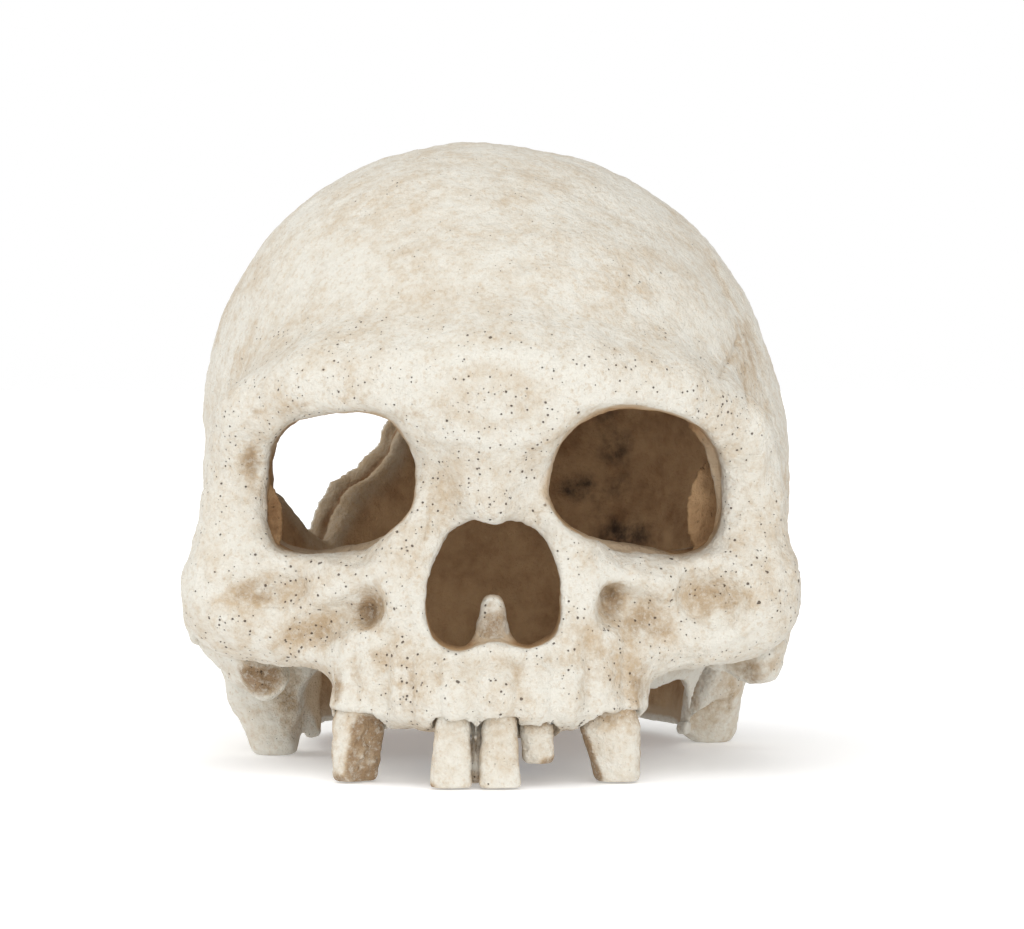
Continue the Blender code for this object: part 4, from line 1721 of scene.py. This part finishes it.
@dataclass(frozen=True)
class Tooth:
    """One separately cast tooth.

    Args:
        name: the engineering node it stands for.
        stations: (z, x, y, half width, half depth) from tip to root.
        chips: flat breaks as (point, normal, reach).
        dents: hollows as (centre, radii).
        collar: how dark the wash is round its neck, 0 to 1.
        seat: how high its socket shows.
        ease: how much it is pared down before its corners are softened.
        gap: the fine gap round it in its socket.
    """

    name: str
    stations: tuple[tuple[float, float, float, float, float], ...]
    chips: tuple[tuple[Point, Point, float], ...] = ()
    dents: tuple[tuple[Point, Point], ...] = ()
    collar: float = 0.6
    seat: float = 15.5
    ease: float = 0.35
    gap: float = 0.4

    def socket(self) -> Shape:
        """The tooth's lower part grown by a fine gap and run out below the ridge.

        Returns:
            The shape to carve.
        """
        gap, seat = self.gap, self.seat
        grown = [(z, x, y, w + gap, d + gap) for z, x, y, w, d in self.stations if z < seat]
        tip, neck = grown[0], grown[-1]
        return Loft(((tip[0] - 4.0, *tip[1:]), *grown, (self.seat, *neck[1:])), 2.6)

    def build(self, finish: bpy.types.Material) -> bpy.types.Object:
        """Sculpts the tooth.

        Args:
            finish: the paint it shares with the other teeth.

        Returns:
            The finished piece.
        """
        body = Loft(self.stations, 2.6)
        low, high = body.box()
        step = 0.34 if Detail.wanted() is Detail.FINE else 0.7
        clay = Clay([np.arange(a - 1.4, b + 1.6, step) for a, b in zip(low, high)])
        clay.add(body, 0.1)
        clay.field = clay.field + self.ease
        clay.field = clay.softened(2)
        crumble = Ripple(1.5, SEED + 5)
        for point, normal, reach in self.chips:
            clay.carve(Facet(point, normal, reach), 0.5, lambda *at: crumble.at(*at) * 0.5)
        for centre, radii in self.dents:
            clay.carve(Lump(centre, radii), 0.8)
        clay.field = np.maximum(clay.field, low[2] - clay.axes[2].reshape(1, 1, -1))
        points, faces = largest_part(*clay.skin())
        facing = normals_of(points, faces)
        lift = np.clip((points[:, 2] - low[2]) / 1.2, 0.15, 1.0)
        move = rough(points, 4.0, 2, 7.0) * 0.3 + rough(points, 1.3, 3, 31.0) * 0.12
        points = points + facing * (move * lift)[:, None]
        marks = self._marks(points, clay)
        made = mesh_piece(f"{self.name}_cast", points, faces, marks)
        made.data.materials.append(finish)
        return made

    def _marks(self, points: Array, clay: Clay) -> dict[str, Array]:
        """Wash that gathers at the neck and down the tooth's sides, and bare broken faces.

        Args:
            points: one row for each corner.
            clay: the tooth's block.

        Returns:
            The marks by name.
        """
        x, y, z = points.T
        top = self.stations[-1][0]
        level = [s[0] for s in self.stations]
        middle = np.interp(z, level, [s[1] for s in self.stations])
        half = np.interp(z, level, [s[3] for s in self.stations])
        side = np.clip(np.abs(x - middle) / half - 0.62, 0.0, 0.4) * 2.2
        neck = np.clip((z - (13.0 if top > 19 else 14.0) + 3.0) / 4.0, 0.0, 1.0)
        bare = np.zeros(len(points))
        for point, normal, reach in self.chips:
            flat = np.abs(Facet(point, normal, reach).distance(x, y, z))
            bare = np.maximum(bare, np.exp(-((flat / 0.8) ** 2)))
        blank = np.zeros(len(points))
        return {
            "depth": blank,
            "relief": np.clip(clay.sample(clay.softened(8), points), -1.0, 1.0) * 0.6,
            "stain": np.clip(np.maximum(side * 1.1, neck * self.collar) + bare * 1.1, 0.0, 1.5),
            "broken": blank,
            "dark": blank,
            "crowd": np.full(len(points), 0.7),
        }


TEETH = (
    Tooth(
        "right_incisor",
        (
            (0, -9.2, -73.6, 4.8, 2.3), (1.2, -9.2, -73.5, 5.1, 2.9), (8, -9.0, -72.6, 4.6, 3.4),
            (15, -8.7, -71, 3.9, 3.6), (22, -8.4, -69, 3.0, 3.0), (23, -8.4, -68.8, 2.3, 2.3),
        ),
        chips=(((-12.6, -76.2, 0.6), (-0.5, -0.4, -0.75), 2.5),),
        collar=0.35,
    ),
    Tooth(
        "left_incisor",
        (
            (0, 1.2, -73.8, 4.7, 2.3), (1.2, 1.1, -73.7, 5.0, 2.9), (8, 1.0, -72.8, 4.5, 3.4),
            (15, 1.0, -71, 3.9, 3.6), (22, 1.2, -69, 3.0, 3.0), (23, 1.2, -68.8, 2.3, 2.3),
        ),
        dents=(((2.2, -77.2, 3.2), (0.5, 1.0, 0.4)), ((3.0, -76.9, 1.6), (0.45, 1.0, 0.4))),
        collar=0.35,
    ),
    Tooth(
        "left_side_incisor",
        (
            (4.6, 9.4, -67.8, 2.9, 2.6), (5.8, 9.2, -67.8, 3.8, 3.4), (12, 8.9, -67.2, 3.9, 3.6),
            (17, 8.8, -66.4, 3.3, 3.1), (21, 8.8, -66, 2.6, 2.6),
        ),
        chips=(((11.0, -70.6, 5.4), (0.45, -0.5, -0.75), 3.2),),
        dents=(((6.3, -71.0, 8.2), (0.7, 1.2, 0.7)), ((7.8, -70.8, 5.8), (0.6, 1.0, 0.5))),
        collar=0.8,
    ),
    Tooth(
        "right_broken_molar",
        (
            (0, -29.8, -60.6, 4.6, 3.4), (1.5, -29.8, -60.5, 5.3, 4.3), (12, -29.2, -60, 6.0, 5.0),
            (19, -28.6, -58.5, 4.6, 4.0), (20, -28.6, -58.4, 3.8, 3.2),
        ),
        chips=(
            ((-28.4, -63.0, 6.0), (0.55, -0.82, -0.12), 8.0),
            ((-33.0, -63.5, 1.0), (-0.3, -0.6, -0.7), 3.2),
        ),
        collar=0.4,
    ),
    Tooth(
        "left_broken_molar",
        (
            (0, 26.2, -60.8, 4.7, 3.6), (1.5, 26.1, -60.7, 5.3, 4.4), (12, 24.6, -60.2, 7.0, 5.3),
            (19, 24.6, -58.8, 4.6, 4.0), (20, 24.6, -58.7, 3.8, 3.2),
        ),
        chips=(((19.6, -62.4, 6.5), (-0.84, -0.45, -0.32), 8.0),),
        collar=0.75,
    ),
)


@dataclass(frozen=True)
class AirStone:
    """The sintered cylinder that makes the bubbles.

    Args:
        name: the piece's name.
        axis: (x, z) of its middle line.
        radius: of the cylinder.
        ends: Y of its front and back.
        bore: radius of the hole for its nipple.
        bore_depth: how far that goes in from the back.
    """

    name: str = "air_stone_grit"
    axis: tuple[float, float] = (-1.0, 15.5)
    radius: float = 6.5
    ends: tuple[float, float] = (-49.6, -20.0)
    bore: float = 2.2
    bore_depth: float = 9.0

    def build(self) -> bpy.types.Object:
        """Sculpts the stone, with a grainy skin and the bore for its nipple.

        Returns:
            The finished piece.
        """
        x, z = self.axis
        front, back = self.ends
        step = 0.4 if Detail.wanted() is Detail.FINE else 0.8
        reach = self.radius + 1.5
        clay = Clay(
            (
                np.arange(x - reach, x + reach, step),
                np.arange(front - 1.5, back + 1.5, step),
                np.arange(z - reach, z + reach, step),
            )
        )
        clay.add(Rod((x, front, z), (x, back, z), self.radius), 0.1)
        clay.carve(Rod((x, back - self.bore_depth, z), (x, back + 3, z), self.bore), 0.2)
        clay.field = clay.softened(2)
        points, faces = largest_part(*clay.skin())
        facing = normals_of(points, faces)
        bore = np.hypot(points[:, 0] - x, points[:, 2] - z) < self.bore + 0.7
        move = np.where(bore, 0.0, np.minimum(rough(points, 1.1, 2) * 0.22 - 0.08, 0.06))
        made = mesh_piece(self.name, points + facing * move[:, None], faces, {})
        made.data.materials.append(FrittedStone().make())
        return made


@dataclass(frozen=True)
class Fitting:
    """An air fitting that keeps its engineering shape.

    Args:
        node: its node's name.
        finish: what it is moulded in.
        edge: radius its edges are eased to.
    """

    node: str
    finish: Moulding
    edge: float = 0.18

    def dress(self) -> bpy.types.Object:
        """Eases the edges and gives it its finish.

        Returns:
            The dressed node.
        """
        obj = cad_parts[self.node]
        ease = obj.modifiers.new("eased_edges", "BEVEL")
        ease.width = self.edge * MM
        ease.segments = 2
        ease.limit_method = "ANGLE"
        ease.angle_limit = math.radians(40)
        obj.data.materials.clear()
        obj.data.materials.append(self.finish.make())
        return obj


SMOKED = paint(150, 162, 168)
FITTINGS = (
    Fitting("stone_nipple", Moulding("nipple_plastic", SMOKED, 0.35)),
    Fitting("stone_cup", Moulding("cup_plastic", paint(120, 128, 132), 0.4)),
    Fitting("air_tube", Moulding("silicone", paint(206, 210, 200), 0.3)),
    Fitting("inlet_grommet", Moulding("rubber", paint(38, 38, 40), 0.75)),
    Fitting("inlet_elbow", Moulding("elbow_plastic", SMOKED, 0.35)),
)


# --------------------------------------------------------------------------- studio


@dataclass(frozen=True)
class SoftLight:
    """A soft light from far away.

    Args:
        name: what it is called.
        towards: the direction it comes from.
        spread: how wide it looks from the table, in degrees.
        strength: light that falls on a surface square to it.
    """

    name: str
    towards: Point
    spread: float
    strength: float

    def hang(self) -> None:
        """Adds it to the scene."""
        data = bpy.data.lights.new(self.name, "SUN")
        data.angle = math.radians(self.spread)
        data.energy = self.strength
        lamp = bpy.data.objects.new(self.name, data)
        lamp.rotation_euler = Vector(self.towards).to_track_quat("Z", "Y").to_euler()
        bpy.context.scene.collection.objects.link(lamp)


LIGHTS = (
    SoftLight("key", (-8, -40, 100), 60, 1.25),
    SoftLight("front", (12, -100, 18), 50, 1.36),
    SoftLight("side", (90, -50, 45), 60, 0.35),
    SoftLight("back", (-90, 14, 42), 50, 0.95),
)


@dataclass(frozen=True)
class Studio:
    """A white table under soft light, and the camera.

    Args:
        eye: where the camera is, in millimetres in the frame.
        pitch: how far it looks down, in degrees.
        lens: focal length on a 36 mm sensor.
        ambient: strength of the light from all round.
        table_half: half the table's width, in metres.
        table_glow: light that the table itself gives, as if it were lit from below.
    """

    eye: Point = (4.45, -901.8, 95.0)
    pitch: float = 1.851
    lens: float = 138.7
    ambient: float = 0.42
    table_half: float = 6.0
    table_glow: float = 0.2

    def build(self) -> None:
        """Sets up the table, the lights and the camera."""
        self._camera()
        self._world()
        self._table()
        for light in LIGHTS:
            light.hang()
        bpy.context.scene.view_settings.view_transform = "Standard"

    def _camera(self) -> None:
        """The camera, level from side to side and looking along +Y."""
        data = bpy.data.cameras.new("camera")
        data.lens = self.lens
        data.sensor_width = 36.0
        data.clip_start = 0.01
        camera = bpy.data.objects.new("camera", data)
        camera.location = [c * MM for c in self.eye]
        camera.rotation_euler = (math.radians(90 - self.pitch), 0.0, 0.0)
        bpy.context.scene.collection.objects.link(camera)
        bpy.context.scene.camera = camera

    def _world(self) -> None:
        """A white backdrop that gives even light from all round."""
        world = bpy.data.worlds.new("studio")
        world.use_nodes = True
        graph = Graph(world.node_tree)
        seen = graph.node("ShaderNodeLightPath", {}, {}, "Is Camera Ray")
        strength = graph.node(
            "ShaderNodeMapRange", {}, {"Value": seen, "To Min": self.ambient, "To Max": 1.0}
        )
        sky = graph.nodes["Background"]
        graph.feed(sky.inputs["Color"], (1.0, 1.0, 1.0))
        graph.feed(sky.inputs["Strength"], strength)
        bpy.context.scene.world = world

    def _table(self) -> None:
        """A wide white surface under the piece."""
        half = self.table_half
        mesh = bpy.data.meshes.new("table")
        corners = [(-half, -half, 0), (half, -half, 0), (half, half, 0), (-half, half, 0)]
        mesh.from_pydata(corners, [], [(0, 1, 2, 3)])
        table = bpy.data.objects.new("table", mesh)
        bpy.context.scene.collection.objects.link(table)
        graph = PaintGraph("table_paper")
        graph.set("Base Color", (0.98, 0.98, 0.985))
        graph.set("Roughness", 0.9)
        graph.set("Specular IOR Level", 0.1)
        graph.set("Emission Color", (1.0, 1.0, 1.0))
        graph.set("Emission Strength", self.table_glow)
        mesh.materials.append(graph.material)


def size_line() -> None:
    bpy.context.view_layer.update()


def main() -> None:
    """Builds, dresses and places every piece, and reports each."""
    logging.basicConfig(level=logging.INFO, format="%(name)s: %(message)s")
    size_line()
    Studio().build()
    skull = Skull().build(TEETH)
    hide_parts("skull_shell")
    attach(skull, CAST_BODY)
    tooth_paint = AgedBone("tooth_paint", pores=0.7).make()
    for tooth in TEETH:
        piece = tooth.build(tooth_paint)
        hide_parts(tooth.name)
        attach(piece, CAST_BODY)
        LOG.info("%s: %d faces", tooth.name, len(piece.data.polygons))
    stone = AirStone().build()
    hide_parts("air_stone")
    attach(stone, CAST_BODY)
    LOG.info("%s: %d faces", stone.name, len(stone.data.polygons))
    for fitting in FITTINGS:
        fitting.dress()
        LOG.info("%s dressed", fitting.node)
    size_line()


if __name__ == "__main__":
    main()
